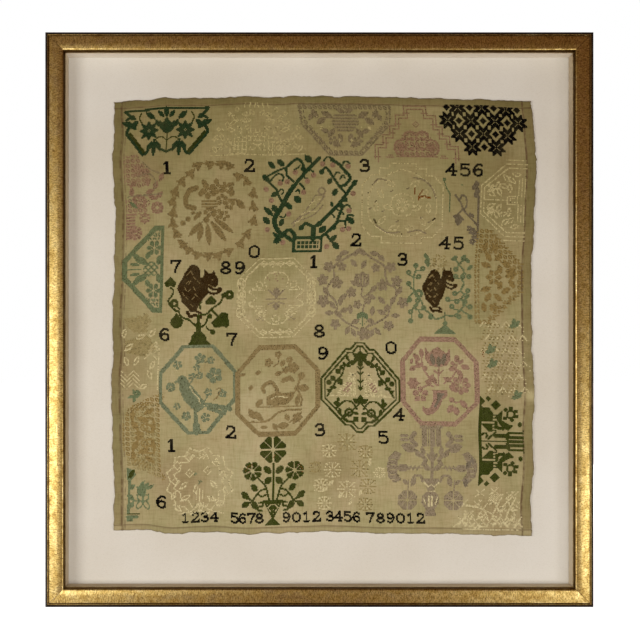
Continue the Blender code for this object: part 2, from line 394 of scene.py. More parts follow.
cloth = {
    "wide": 336.6,
    "high": 349.0,
    "right": 3.8,
    "up": 4.1,
    "back": 4.7,
    "thick": 1.2,
    "hemMore": 0.65,
    "hem": {"left": 7.3, "right": 7.7, "top": 5.9, "bottom": 4.7},
    "cell": 2.2,
    "fray": 1.15,  # how far the edge wanders between neighbouring threads
    "crosses": (417, 433),  # across and down, over two threads each way
    "foldWidth": 0.7,  # over which the hem steps down to the single cloth
    "pulled": (0.75, 0.28),  # the line that the hem's stitches pull in: half width and depth
    "rounded": (1.1, 0.35),  # how far in the edge is rounded, and its thickness there as a share
    "linen": "#948760",
    # brown stains: across, up, half width, half height, strength
    "stains": (
        (0.92, 0.84, 0.045, 0.13, 0.34), (0.925, 0.345, 0.04, 0.12, 0.32), (0.915, 0.053, 0.07, 0.05, 0.36),
        (0.157, 0.117, 0.075, 0.07, 0.46), (0.04, 0.366, 0.05, 0.085, 0.38), (0.092, 0.85, 0.05, 0.05, 0.26),
        (0.535, 0.138, 0.05, 0.08, 0.32),
    ),  # fmt: skip
    # where the linen has stayed pale, and a frayed row at the right side: up, half height, from, width
    "pale": ((0.608, 0.79, 0.08, 0.08, 0.24),),
    "frayedRow": (0.322, 0.013, 0.972, 0.03),
    # brown stitched lines: X is millimetres in from the left side, Y from the right and Z from the top
    "seams": (("X", 6.3, 1.0, 0.6), ("X", 9.1, 0.8, 0.5), ("Y", 7.7, 1.2, 0.75), ("Z", 6.0, 0.8, 0.35)),
}
edges = {
    "top": "0:-3.2 .06:-1.6 .13:.2 .22:.1 .32:1.5 .38:.7 .45:1.7 .58:1.4 .72:.2 .86:-.9 1:-2.4",
    "bottom": "0:-1.9 .07:-2.2 .14:.6 .24:-.6 .31:1 .44:-.2 .52:-1 .64:.6 .78:.9 .92:2 1:2.4",
    "left": "0:.1 .1:-.3 .22:1.1 .34:2 .42:.3 .48:1.1 .6:-.4 .73:-1.2 .86:1.1 .93:-.5 1:.2",
    "right": "0:-.9 .06:-2 .17:.4 .24:-.4 .32:1.2 .45:-.9 .6:-1.5 .72:.9 .85:2.9 .94:.8 1:-1.4",
}
ripples = ((1, 0.5, 0.10, 0.35), (0.5, 2, 0.40, 0.25), (3, 1.5, 0.75, 0.15))


def edgeOut(side, along):  # eased from one point of the edge to the next
    points = np.array([[float(n) for n in pair.split(":")] for pair in edges[side].split()])
    here = np.clip(np.searchsorted(points[:, 0], along, "right") - 1, 0, len(points) - 2)
    share = np.clip((along - points[here, 0]) / (points[here + 1, 0] - points[here, 0]), 0, 1)
    share = share * share * (3 - 2 * share)
    return points[here, 1] + (points[here + 1, 1] - points[here, 1]) * share


def clothPoint(across, up, proud=0.0):
    # a place on the cloth's back, or so far in front of it, for shares across and up
    across, up = np.asarray(across, float), np.asarray(up, float)
    left = -cloth["wide"] / 2 - edgeOut("left", up)
    right = cloth["wide"] / 2 + edgeOut("right", up)
    bottom = -cloth["high"] / 2 - edgeOut("bottom", across)
    top = cloth["high"] / 2 + edgeOut("top", across)
    x = cloth["right"] + left + (right - left) * across
    z = moulding["high"] / 2 + cloth["up"] + bottom + (top - bottom) * up
    ripple = 0
    for wavesAcross, wavesUp, turn, high in ripples:
        wave = np.sin(2 * math.pi * (wavesAcross * across + wavesUp * up + turn))
        ripple = ripple + high * (1 + wave) / 2
    return np.stack([x, cloth["back"] - ripple - proud, z], -1) * mm


def hemThickness(across, up):
    # millimetres of cloth: hem, the line that its stitches pull in, and the single cloth inside
    fromSide = {
        "left": across * cloth["wide"],
        "right": (1 - across) * cloth["wide"],
        "bottom": up * cloth["high"],
        "top": (1 - up) * cloth["high"],
    }
    more = np.zeros(np.broadcast(across, up).shape)
    pulled = np.zeros_like(more)
    nearest = np.full_like(more, 1e3)
    fold = cloth["foldWidth"]
    pullWide, pullDeep = cloth["pulled"]
    roundIn, atEdge = cloth["rounded"]
    for side, distance in fromSide.items():
        hem = cloth["hem"][side]
        more = np.maximum(more, np.clip((hem - fold / 2 - distance) / fold, 0, 1))
        pulled = np.maximum(pulled, np.clip(1 - np.abs(distance - hem) / pullWide, 0, 1))
        nearest = np.minimum(nearest, distance)
    rounded = np.sqrt(np.clip(nearest / roundIn, 0.0, 1.0))
    thick = cloth["thick"] + cloth["hemMore"] * more - pullDeep * pulled * (1 - more)
    return thick * (atEdge + (1 - atEdge) * rounded), pulled, nearest


def gridLines(low, high, size):
    # close together at the hems, and one cell apart between them
    atEdge, atFold = [0, 0.4, 1.0, 2.2], (-2.0, -0.9, -0.35, 0, 0.4, 1.0)
    near, far = (atEdge + [hem + step for step in atFold] for hem in (low, high))
    count = round((size - low - high - 2) / cloth["cell"])
    inside = np.linspace(low + 1, size - high - 1, count + 1)[1:-1]
    return np.array(near + list(inside) + [size - d for d in reversed(far)]) / size


def paintedShadeTowardsTop(tree, colour):  # painted shade: the cloth and its silk are made darker towards the top, where less light falls
    place = addNode(tree, "TexCoord").outputs["Object"]
    height = addNode(tree, "SeparateXYZ", links={0: place}).outputs["Z"]
    span = {"From Min": 0.06, "From Max": 0.42}  # from the frame's bottom rail to its top one, in metres
    share = addNode(tree, "MapRange", span, {"Value": height}).outputs["Result"]
    # painted shade, deepening from the bottom rail to the top rail
    toned = ramp(tree, share, [(0.0, "#ffffff"), (0.45, "#f3f2ec"), (0.75, "#dddac9"), (1.0, "#cfccb4")])
    return mixColours(tree, "MULTIPLY", 1.0, colour, toned)


def agedLinen():
    # plain weave of 25 threads a centimetre: 0.4 mm is half a pixel here, so the visible slubs are drawn
    # as coarse as 0.8 to 1.6 mm, and the true weave is only a faint bump
    finish, tree, shader = newFinish("aged linen", cloth["linen"], 0.9)
    shader.inputs["Sheen Weight"].default_value = 0.08
    weft = grain(tree, (110, 110, 850), 3, 0.6)
    warp = grain(tree, (850, 110, 110), 3, 0.6)
    patchy = grain(tree, (14, 14, 14), 4, 0.55, 0.4)
    stains = grain(tree, (34, 34, 30), 3, 0.6, 0.5)
    ground = ramp(tree, patchy, [(0.30, "#827a50"), (0.48, "#9c9269"), (0.66, "#a99f7b")])
    blush = ramp(tree, stains, [(0.38, "#958f66"), (0.64, "#a69572")])
    ground = mixColours(tree, "MIX", 0.4, ground, blush)
    for yarn in (weft, warp):
        shade = ramp(tree, yarn, [(0.25, "#d9d2c0"), (0.55, "#ffffff")])
        ground = mixColours(tree, "MULTIPLY", 0.55, ground, shade)
    # painted shade: the linen is made darker towards the top
    ground = paintedShadeTowardsTop(tree, ground)
    ground = mixColours(tree, "MULTIPLY", valueOf(tree, "stain"), ground, "#a88b62")
    ground = mixColours(tree, "MULTIPLY", valueOf(tree, "hem"), ground, "#d9d6c8")
    ground = mixColours(tree, "MIX", valueOf(tree, "hemShadow"), ground, "#4a3318")
    sides = addNode(tree, "SeparateXYZ", links={0: valueOf(tree, "inset", "Vector")}).outputs
    worn = grain(tree, (260, 260, 260), 2)
    broken = addNode(tree, "MapRange", {"From Min": 0.38, "From Max": 0.56}, {"Value": worn})
    for side, place, wide, strength in cloth["seams"]:
        away = addNode(tree, "Math", {"operation": "SUBTRACT", 1: place}, {0: sides["XYZ".index(side)]})
        away = addNode(tree, "Math", {"operation": "ABSOLUTE"}, {0: away.outputs[0]}).outputs[0]
        span = {"From Min": wide, "From Max": 0.2, "To Max": strength}
        seam = addNode(tree, "MapRange", span, {"Value": away})
        links = {0: seam.outputs["Result"], 1: broken.outputs["Result"]}
        seam = addNode(tree, "Math", {"operation": "MULTIPLY"}, links)
        ground = mixColours(tree, "MIX", seam.outputs[0], ground, "#4a2f1a")
    ground = mixColours(tree, "MIX", valueOf(tree, "frayedPatch"), ground, "#c4ba8c")
    tree.links.new(ground, shader.inputs["Base Color"])
    weave = 2 * math.pi / 5.0 / (0.4 * mm)
    waves = {}
    for socket, direction in enumerate("XZ"):
        settings = {"bands_direction": direction, "Scale": weave / 4}
        wave = addNode(tree, "TexWave", settings, {"Vector": stretched(tree, (1, 1, 1))})
        waves[socket] = wave.outputs["Fac"]
    fine = addNode(tree, "Math", {"operation": "MULTIPLY"}, waves).outputs[0]
    slubs = addNode(tree, "Math", {"operation": "ADD"}, {0: weft, 1: warp}).outputs[0]
    relief = addNode(tree, "Math", {"operation": "MULTIPLY_ADD", 1: 0.25}, {0: fine, 2: slubs})
    bumped(tree, shader, relief.outputs[0], 0.00035, 0.6)
    return finish


def spots(places, across, up):  # soft round patches, added up
    total = 0
    for x, y, wide, high, strength in places:
        total = total + strength * np.exp(-(((across - x) / wide) ** 2) - ((up - y) / high) ** 2)
    return total


def frayed(across, up, seed):  # how far a place near the edge strays
    return [
        noise.noise(Vector((s * 95, seed, t * 95))) * 0.7 + noise.noise(Vector((s * 29, seed, t * 29)))
        for s, t in zip(across.ravel(), up.ravel())
    ]


def buildCloth():
    linen = agedLinen()
    columns = gridLines(cloth["hem"]["left"], cloth["hem"]["right"], cloth["wide"])
    rows = gridLines(cloth["hem"]["bottom"], cloth["hem"]["top"], cloth["high"])
    across, up = np.meshgrid(columns, rows)
    thick, pulled, nearest = hemThickness(across, up)
    back = clothPoint(across, up)
    front = clothPoint(across, up, thick)
    rim = np.exp(-nearest / 2.5)
    for sheet in (back, front):
        for axis, seed in ((0, 3.0), (2, 9.0)):
            stray = np.array(frayed(across, up, seed)).reshape(across.shape)
            sheet[..., axis] += stray * rim * cloth["fray"] * mm
    high, wide = across.shape
    number = np.arange(high * wide).reshape(high, wide)
    a, b, c, d = number[:-1, :-1], number[:-1, 1:], number[1:, 1:], number[1:, :-1]
    backFaces = np.stack([a, d, c, b], -1).reshape(-1, 4)
    frontFaces = np.stack([a, b, c, d], -1).reshape(-1, 4) + high * wide
    border = np.concatenate([number[0, :-1], number[:-1, -1], number[-1, :0:-1], number[:0:-1, 0]])
    after = np.roll(border, -1)
    rimFaces = np.stack([border, after, after + high * wide, border + high * wide], -1)
    verts = np.concatenate([back.reshape(-1, 3), front.reshape(-1, 3)])
    faces = np.concatenate([backFaces, frontFaces, rimFaces]).tolist()
    piece = newPiece("linen_cloth", verts.tolist(), faces, [linen])
    shadow = np.clip(0.62 * pulled + 0.6 * np.clip(1 - nearest / 0.9, 0, 1), 0, 0.8)
    setValues(piece, "hemShadow", np.concatenate([shadow.ravel() * 0, shadow.ravel()]))
    doubled = (thick > cloth["thick"] + 0.2) * np.where(up < 0.016, 0.35, 1.0)
    rowUp, rowHigh, rowFrom, rowWide = cloth["frayedRow"]
    pale = np.exp(-(((up - rowUp) / rowHigh) ** 2)) * np.clip((across - rowFrom) / rowWide, 0, 0.5)
    pale += spots(cloth["pale"], across, up)
    stain = spots(cloth["stains"], across, up)
    for name, values in (("stain", stain), ("frayedPatch", pale), ("hem", doubled)):
        setValues(piece, name, np.tile(values.ravel(), 2))
    inset = [across * cloth["wide"], (1 - across) * cloth["wide"], (1 - up) * cloth["high"]]
    setValues(piece, "inset", np.tile(np.stack(inset, -1).reshape(-1, 3), (2, 1)))
    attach(piece, "root")
    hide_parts("sampler_cloth")
    print("cloth:", len(faces), "faces")
    return piece


# the chart: one thread number for every cross, and a needle that works shapes on it

threads = {
    "black": "#060402",
    "green": "#383f14",
    "teal": "#294028",
    "brown": "#37270f",
    "sea": "#6a7657",
    "blue": "#727a60",
    "brass": "#8b774a",
    "tan": "#887752",
    "fawn": "#918358",
    "pink": "#977a69",
    "mauve": "#8b7e68",
    "violet": "#766c5c",
    "cream": "#c3b890",
    "rust": "#7d4d24",
}
threadNames = list(threads)
chart = np.full((cloth["crosses"][1], cloth["crosses"][0]), -1)


class Needle:
    # works in stitches right and down from the middle of a motif; flip mirrors it either way, and only
    # leaves out the crosses that a counted filling leaves bare
    def __init__(self, thread, right, down, flip=(1, 1), only=None):
        self.thread = threadNames.index(thread)
        self.right, self.down, self.flip, self.only = right, down, flip, only

    def place(self, point):
        return self.right + point[0] * self.flip[0], self.down + point[1] * self.flip[1]

    def sew(self, test, points, margin):
        spots = np.array([self.place(p) for p in points])
        low = np.maximum(np.floor(spots.min(0) - margin), 0).astype(int)
        high = np.ceil(spots.max(0) + margin).astype(int) + 1
        block = chart[low[1] : high[1], low[0] : high[0]]
        rows, columns = np.mgrid[low[1] : low[1] + block.shape[0], low[0] : low[0] + block.shape[1]]
        worked = test(columns, rows, spots)
        if self.only:
            worked &= self.only(columns, rows)
        block[worked] = self.thread

    def dot(self, *points):
        for point in points:
            x, y = (math.floor(n + 0.5) for n in self.place(point))
            if 0 <= x < chart.shape[1] and 0 <= y < chart.shape[0]:
                chart[y, x] = self.thread

    def line(self, *points, wide=1.0, closed=False):
        points = list(points) + [points[0]] * closed
        for pair in zip(points, points[1:]):
            def near(x, y, spots):
                (ax, ay), (bx, by) = spots
                span = max((bx - ax) ** 2 + (by - ay) ** 2, 1e-9)
                share = np.clip(((x - ax) * (bx - ax) + (y - ay) * (by - ay)) / span, 0, 1)
                return np.hypot(x - ax - share * (bx - ax), y - ay - share * (by - ay)) <= wide / 2 + 0.05
            self.sew(near, pair, wide)

    def curve(self, *points, wide=1.0, closed=False, steps=6):
        # a smooth line through the points
        knots = [np.array(p, float) for p in points]
        if closed:
            knots = [knots[-1]] + knots + knots[:2]
        else:
            knots = [2 * knots[0] - knots[1]] + knots + [2 * knots[-1] - knots[-2]]
        path = []
        for a, b, c, d in zip(knots, knots[1:], knots[2:], knots[3:]):
            for i in range(steps):
                t = i / steps
                square, cube = 2 * a - 5 * b + 4 * c - d, 3 * b - a - 3 * c + d
                path.append(0.5 * (2 * b + (c - a) * t + square * t * t + cube * t**3))
        self.line(*path, knots[-2], wide=wide)

    def fill(self, *points):
        def inside(x, y, spots):
            odd = np.zeros(x.shape, bool)
            for (ax, ay), (bx, by) in zip(spots, np.roll(spots, -1, 0)):
                if ay != by:
                    odd ^= ((ay > y) != (by > y)) & (x < (bx - ax) * (y - ay) / (by - ay) + ax)
            return odd
        self.sew(inside, points, 1)

    def disc(self, x, y, radius, hole=0.0):
        def inRing(columns, rows, spots):
            far = np.hypot(columns - spots[0][0], rows - spots[0][1])
            return (far <= radius) & (far >= hole)
        self.sew(inRing, [(x, y)], radius + 1)

    def leaf(self, x, y, length, wide, angle, hollow=0.0):
        # pointed at both ends; angle in degrees, 0 to the right and 90 up
        turn = math.radians(angle)
        halfX, halfY = math.cos(turn) * length / 2, -math.sin(turn) * length / 2
        tips = [(x - halfX, y - halfY), (x + halfX, y + halfY)]
        def inLeaf(columns, rows, spots):
            middle = (spots[0] + spots[1]) / 2
            way = (spots[1] - spots[0]) / np.hypot(*(spots[1] - spots[0]))
            a = (columns - middle[0]) * way[0] + (rows - middle[1]) * way[1]
            b = np.abs(-(columns - middle[0]) * way[1] + (rows - middle[1]) * way[0])
            edge = wide / 2 * (1 - (2 * a / length) ** 2) + 0.3
            kept = (b >= edge - 1.1) | (hollow == 0) | (np.abs(a) > length / 2 - hollow)
            return (np.abs(a) <= length / 2) & (b <= edge) & kept
        self.sew(inLeaf, tips, wide)

    def leaves(self, *each):
        for leaf in each:
            self.leaf(*leaf)

    def bloom(self, x, y, radius, petals, hole=1.0, turn=0.0, depth=0.4, gap=0.0):
        # a flower of rounded petals round a bare eye; gap leaves the lines between the petals bare
        def inBloom(columns, rows, spots):
            dx, dy = columns - spots[0][0], rows - spots[0][1]
            far, angle = np.hypot(dx, dy), np.arctan2(dy, dx) + math.radians(turn)
            edge = radius * (1 - depth + depth * np.abs(np.cos(angle * petals / 2)))
            between = np.abs(np.sin(angle * petals / 2 + math.pi / 2)) * far * 2 / petals
            return (far <= edge) & (far >= hole) & (between >= gap)
        self.sew(inBloom, [(x, y)], radius + 1)


# counted fillings that leave a lace of bare ground
def net(x, y):
    return (x + y) % 2 == 0


def twill(x, y):
    return (x + y) % 4 < 2


def lozenge(x, y):
    return ((x + y) % 6 < 2) | ((x - y) % 6 < 2)


def seeded(x, y):
    return (x * 7 + y * 13 + (x * y) % 5) % 5 < 3


def ribbed(x, y):
    return y % 3 < 2


bothSides = ((1, 1), (-1, 1))
upAndDown = ((1, 1), (1, -1))

# strokes of the numerals, in a box ten wide and twelve high round its middle
numerals = (
    (((0, -6), (4, -4), (5, 0), (4, 4), (0, 6), (-4, 4), (-5, 0), (-4, -4), (0, -6)),),
    (((-3, -4), (0, -6), (0, -6)), ((0, -6), (0, 0), (0, 6)), ((-3, 6), (0, 6), (3, 6))),
    (
        ((-4, -3), (-2, -6), (3, -5), (4, -2), (0, 2), (-5, 6)), ((-5, 6), (0, 6), (5, 6)),
        ((5, 6), (5, 4), (5, 4)),
    ),
    (((-4, -4), (0, -6), (4, -4), (3, -1), (-1, 0)), ((-1, 0), (4, 1), (4, 5), (0, 6), (-4, 5))),
    (
        ((2, 6), (2, 0), (2, -6)), ((2, -6), (-5, 2), (-5, 2)), ((-5, 2), (0, 2), (5, 2)),
        ((0, 6), (2, 6), (4, 6)),
    ),
    (
        ((4, -6), (0, -6), (-4, -6)), ((-4, -6), (-4, -3), (-4, -1)),
        ((-4, -1), (1, -2), (5, 2), (2, 6), (-4, 5)),
    ),
    (((4, -5), (0, -6), (-4, -2), (-4, 3), (0, 6), (4, 4), (3, 0), (-1, -1), (-4, 2)),),
    (((-5, -4), (-5, -6), (-5, -6)), ((-5, -6), (0, -6), (5, -6)), ((5, -6), (1, 0), (-1, 6))),
    (((0, 0), (-4, -3), (0, -6), (4, -3), (0, 0), (-5, 3), (0, 6), (5, 3), (0, 0)),),
    (((-4, 5), (0, 6), (4, 2), (4, -3), (0, -6), (-4, -4), (-3, 0), (1, 1), (4, -2)),),
)
numeralPlaces = (
    (53, 69), (134, 68), (247, 68), (333, 70), (346, 70), (359, 70), (61, 167), (111, 169), (125, 169),
    (139, 153), (199, 164), (240, 142), (287, 160), (329, 143), (342, 143), (51, 235), (118, 240),
    (205, 233), (208, 255), (276, 248), (58, 345), (117, 332), (205, 331), (284, 314), (268, 337), (47, 402),
)  # fmt: skip
# a numeral's size and its line's width, among the motifs and in the foot row
numeralLook, footLook = (0.94, 2.0), (0.72, 1.7)
# the foot row: where a group starts, its number of figures and their step
footDown = 417
footGroups = ((71, 4, 9.6), (120, 4, 8.4), (172, 4, 10), (215, 4, 9), (256, 6, 10))


def sewNumeral(digit, right, down, size, wide):
    needle = Needle("black", right, down)
    for stroke in numerals[digit]:
        needle.curve(*[(x * size, y * size) for x, y in stroke], wide=wide)


def sewNumerals():
    # plain numbers among the motifs, and counting numbers along the foot
    for number, (right, down) in enumerate(numeralPlaces):
        sewNumeral((number + 1) % 10, right, down, *numeralLook)
    number = 1
    for start, count, step in footGroups:
        for i in range(count):
            sewNumeral(number % 10, start + round(i * step), footDown, *footLook)
            number += 1


def greenHalfMedallion():
    middle = Needle("teal", 52, 32)
    middle.line((-40, -21), (-20, -22), (42, -23), wide=2)
    middle.leaf(0, -19, 10, 4.5, 90)
    middle.fill(
        (-7.5, -11), (-4, -8), (0, -14), (4, -8), (7.5, -11), (7, -3), (4, 1), (0, 3), (-4, 1), (-7, -3),
    )  # fmt: skip
    for flip in bothSides:
        green, teal = Needle("green", 52, 32, flip), Needle("teal", 52, 32, flip)
        teal.curve((32, -4), (37, -6), (40, 0), (38, 4), wide=3)
        teal.line((39, 3), (31, 13), (23, 23), wide=2.6)
        green.line((37, 1.4), (29, 11.4), (21, 21.4), wide=2.8)
        teal.curve((41, -21), (36, -16), (40, -13), wide=2.6)
        teal.leaves((39, -9, 12, 5, 15), (32, -8, 9, 4.5, 130), (34, -15, 8, 4, 40))
        for k in range(8):
            angle = math.radians(45 * k)
            teal.leaf(18 + 5.6 * math.cos(angle), -1 - 5.6 * math.sin(angle), 8.6, 3.6, 45 * k)
        teal.dot((18, -1))
        teal.leaves((16, -16, 12, 4.6, 40), (5.5, -17, 9, 3.6, 48), (9.5, -8, 8, 3.4, 62))
        green.curve((25, -19), (27, -14), (25, -9))
        green.curve((0, 10), (5, 6), (10, 7), (12, 11))
        teal.leaves((12.5, 16, 17, 4.2, 90), (8, 15, 12, 4, 66), (17, 15, 12, 4, -66))
        teal.curve((0, 21), (4, 19), (7, 18), wide=2.4)
        teal.line((18, 19), (20, 22), (23, 23), wide=2.2)
    Needle("green", 52, 32).line((0, 2), (0, 20), wide=1.4)


def creamLatticeTriangle():
    # stepped rows of small squares under a fan of leaves
    for flip in bothSides:
        needle = Needle("cream", 142, 33, flip)
        for row, (count, down) in enumerate(((5, 6), (4, 2), (3, -2))):
            wide = count * 4.4 / 2
            needle.line((0, down + 4.4), (wide, down + 4.4))
            for k in range(count + 1):
                x = wide - 4.4 * k
                if x >= 0:
                    needle.line((x, down), (x, down + 4))
        for k in range(5):
            needle.line((11 + 4 * k, 5 + k), (11 + 4 * k, 22))
            needle.line((11, 7 + 4 * k), (20 + 2 * k, 7 + 4 * k))
        needle.line((0, 24), (46, 24))
        needle.line((3, 19), (0, 14), (6, 13), (8, 19), closed=True)
        for x, y, angle, length in (
            (11, -16, 0, 9), (12, -10, 0, 11), (5, -18, 50, 8), (10, -3, -20, 7), (24, -8, -40, 10),
            (22, -12, 50, 9), (30, -6, 80, 8), (27, -1, 10, 9), (35, 6, 60, 9), (30, 12, 100, 10),
            (24, 14, 70, 10), (37, 15, 120, 8), (18, -1, 60, 8), (42, 18, 60, 7), (40, 6, 20, 6),
        ):  # fmt: skip
            needle.leaf(x, y, length, 3.6, angle, hollow=1)
        for k in range(3):
            needle.line((1 + 5 * k, -27), (2 + 5 * k, -23))
        needle.disc(19.5, -21, 2.4, hole=1.2)
        needle.disc(28, -17, 2.2, hole=1)
        needle.disc(39, -2, 2.2, hole=1)
        needle.disc(43, 8, 2, hole=1)
        for x, y in ((16, 4), (15, -7), (21, 5), (34, -1), (46, 20), (34, 19), (26, 21)):
            needle.dot((x, y), (x + 1, y - 1))


def taupeHalfMedallion():
    for flip in bothSides:
        needle = Needle("mauve", 229, 32, flip)
        needle.only = seeded
        needle.line((0, -22), (44, -22), (42, -8), (15, 24), (0, 24), wide=5)
        needle.only = None
        needle.line((0, -24), (45, -24), (44, -7))
        needle.line((41, -6), (14, 22))
        needle.line((44, -5), (16, 26), (0, 26))
        needle.only = ribbed
        needle.fill((0, -14), (10, -16), (14, -6), (8, 2), (0, 3))
        needle.only = None
        needle.leaves(
            (18, -14, 12, 6, 30), (24, -8, 11, 5, -30), (30, -15, 10, 5, 60), (14, 4, 11, 5, -50),
            (5, 9, 10, 5, 80), (20, 2, 9, 4, 20), (9, 15, 9, 5, 30), (34, -12, 8, 4, -60), (4, -18, 9, 4, 20),
        )  # fmt: skip
        needle.bloom(12, 12, 5, 5, hole=1, gap=0.4)
        pale = Needle("cream", 229, 32, flip)
        pale.disc(24, -1, 1.6)
        pale.disc(6, 11, 1.4)
        pale.dot((20, -12), (16, -2), (28, -12), (10, 20))


def pinkSteps():
    # a stepped border of three lines, and one large scalloped blossom
    steps = (
        (0, -29), (11, -29), (11, -20), (20, -20), (20, -9), (26, -9), (26, 0), (33, 0), (33, 10), (41, 10),
        (41, 24),
    )  # fmt: skip
    for flip in bothSides:
        needle = Needle("pink", 299, 37, flip)
        for inset in (0, 3):
            needle.line(*[(max(x - inset, 0), y + inset) for x, y in steps])
        for x, y in steps[2::2]:
            needle.line((x - 5, y - 2), (x + 1, y - 2))
        needle.only = seeded
        needle.fill((0, -3), (8, -4), (14, 0), (15, 6), (21, 8), (23, 14), (20, 19), (14, 21), (0, 21))
        needle.only = None
        needle.curve((0, 0), (5, -4), (11, -2), (12, 4), wide=1.8)
        needle.curve((12, 4), (19, 6), (22, 12), (19, 18), (12, 20), wide=1.8)
        needle.curve((3, 4), (9, 4), (11, 10), (6, 14), (2, 10), wide=1.6)
        needle.bloom(15, 12, 5, 6, hole=1)
        needle.line((0, 21), (20, 21), wide=1.8)
        needle.line((23, 22), (30, 22))
        needle.line((24, 20), (28, 20))
    middle = Needle("pink", 299, 37)
    middle.line((-3, -11), (0, -14), (3, -11), (0, -8), closed=True)
    middle.dot((0, -11))
    middle.line((0, 0), (0, 20), wide=1.4)


def blackStars():
    # eight-point stars half a step across from row to row, and a small diamond in each gap
    needle = Needle("black", 366, 21)
    stepAcross, stepDown = 11.8, 13
    for row in range(-1, 3):
        reach = 3 - max(row, 0)
        for i in range(-reach, reach + 1):
            x, y = math.floor(i * stepAcross + 0.5), row * stepDown + (i > 1)
            star = (i + row) % 2 == 1
            for b in range(-8, 9):
                for a in range(-8, 9):
                    short, long = sorted((abs(a), abs(b)))
                    rhomb = short <= 4 and long <= min(short + 5, 8) and not (0 < short == long < 4)
                    if (rhomb if star else short + long <= 3) and (row >= 0 or b > -3):
                        needle.dot((x + a, y + b))


def tanWreath():
    needle = Needle("tan", 98, 110)
    for x, y, angle in (
        (-41, -8, 60), (-41, 3, 80), (-41, 14, 100), (-37, 24, 130), (-31, 34, 150), (-25, 40, 160),
        (-16, 45, 170), (-5, 46, 10), (5, 46, 30), (15, 42, 20), (27, 34, 60), (33, 25, 50), (39, 12, 70),
        (39, -2, 100), (39, -15, 80), (33, -27, 120), (25, -32, 160), (16, -43, 150), (8, -45, 10),
        (-3, -45, 0), (-15, -44, 20), (-22, -36, 40), (-31, -28, 50), (-38, -18, 60),
    ):  # fmt: skip
        needle.leaf(x, y, 12, 4, angle)
        needle.leaf(x + 1, y + 2, 9, 3.6, angle + 60)
        needle.leaf(x - 1, y + 1, 9, 3.4, angle - 60)
    needle.curve((-17, -21), (-24, -18), (-28, -10), (-27, -3), (-20, -1), wide=5)
    for x, y, size in (
        (-5, -18, 8.5), (-5, 3, 6), (3, 5, 5.4), (10, 7, 5.6), (5, -20, 6), (14, -20, 6), (8, -9, 6),
        (15, -4, 6),
    ):  # fmt: skip
        needle.bloom(x, y, size, 5, hole=1.2, turn=20 * x, gap=0.3)
    needle.only = ribbed
    needle.fill((-13, -9), (2, -10), (4, -2), (-4, 0), (-12, -2))
    needle.only = None
    needle.leaves(
        (26, -4, 12, 6, -50), (19, -8, 7, 3, 20), (3, -27, 6, 4, 90), (11, -25, 4, 3, 60),
        (19, -24, 4, 3, 30), (18, -15, 7, 4, 60), (-9, -26, 7, 4, 110), (-16, 6, 8, 5, 45),
        (-21, 4, 5, 3, 0), (-26, 10, 5, 4, 45), (-31, 14, 5, 4, 45), (-13, -15, 6, 4, 150),
        (-19, 9, 5, 3, 60),
    )  # fmt: skip
    for (ax, ay), (bx, by), wide in (
        ((-12, 13), (-25, 27), 5), ((-12, 16), (-15, 32), 5), ((-7, 14), (-4, 37), 5),
        ((-4, 12), (13, 33), 5.4), ((0, 10), (19, 24), 5),
    ):  # fmt: skip
        length = math.hypot(bx - ax, by - ay)
        angle = math.degrees(math.atan2(ay - by, bx - ax))
        needle.leaf((ax + bx) / 2, (ay + by) / 2, length, wide, angle)
    needle.disc(-8, 11, 3)


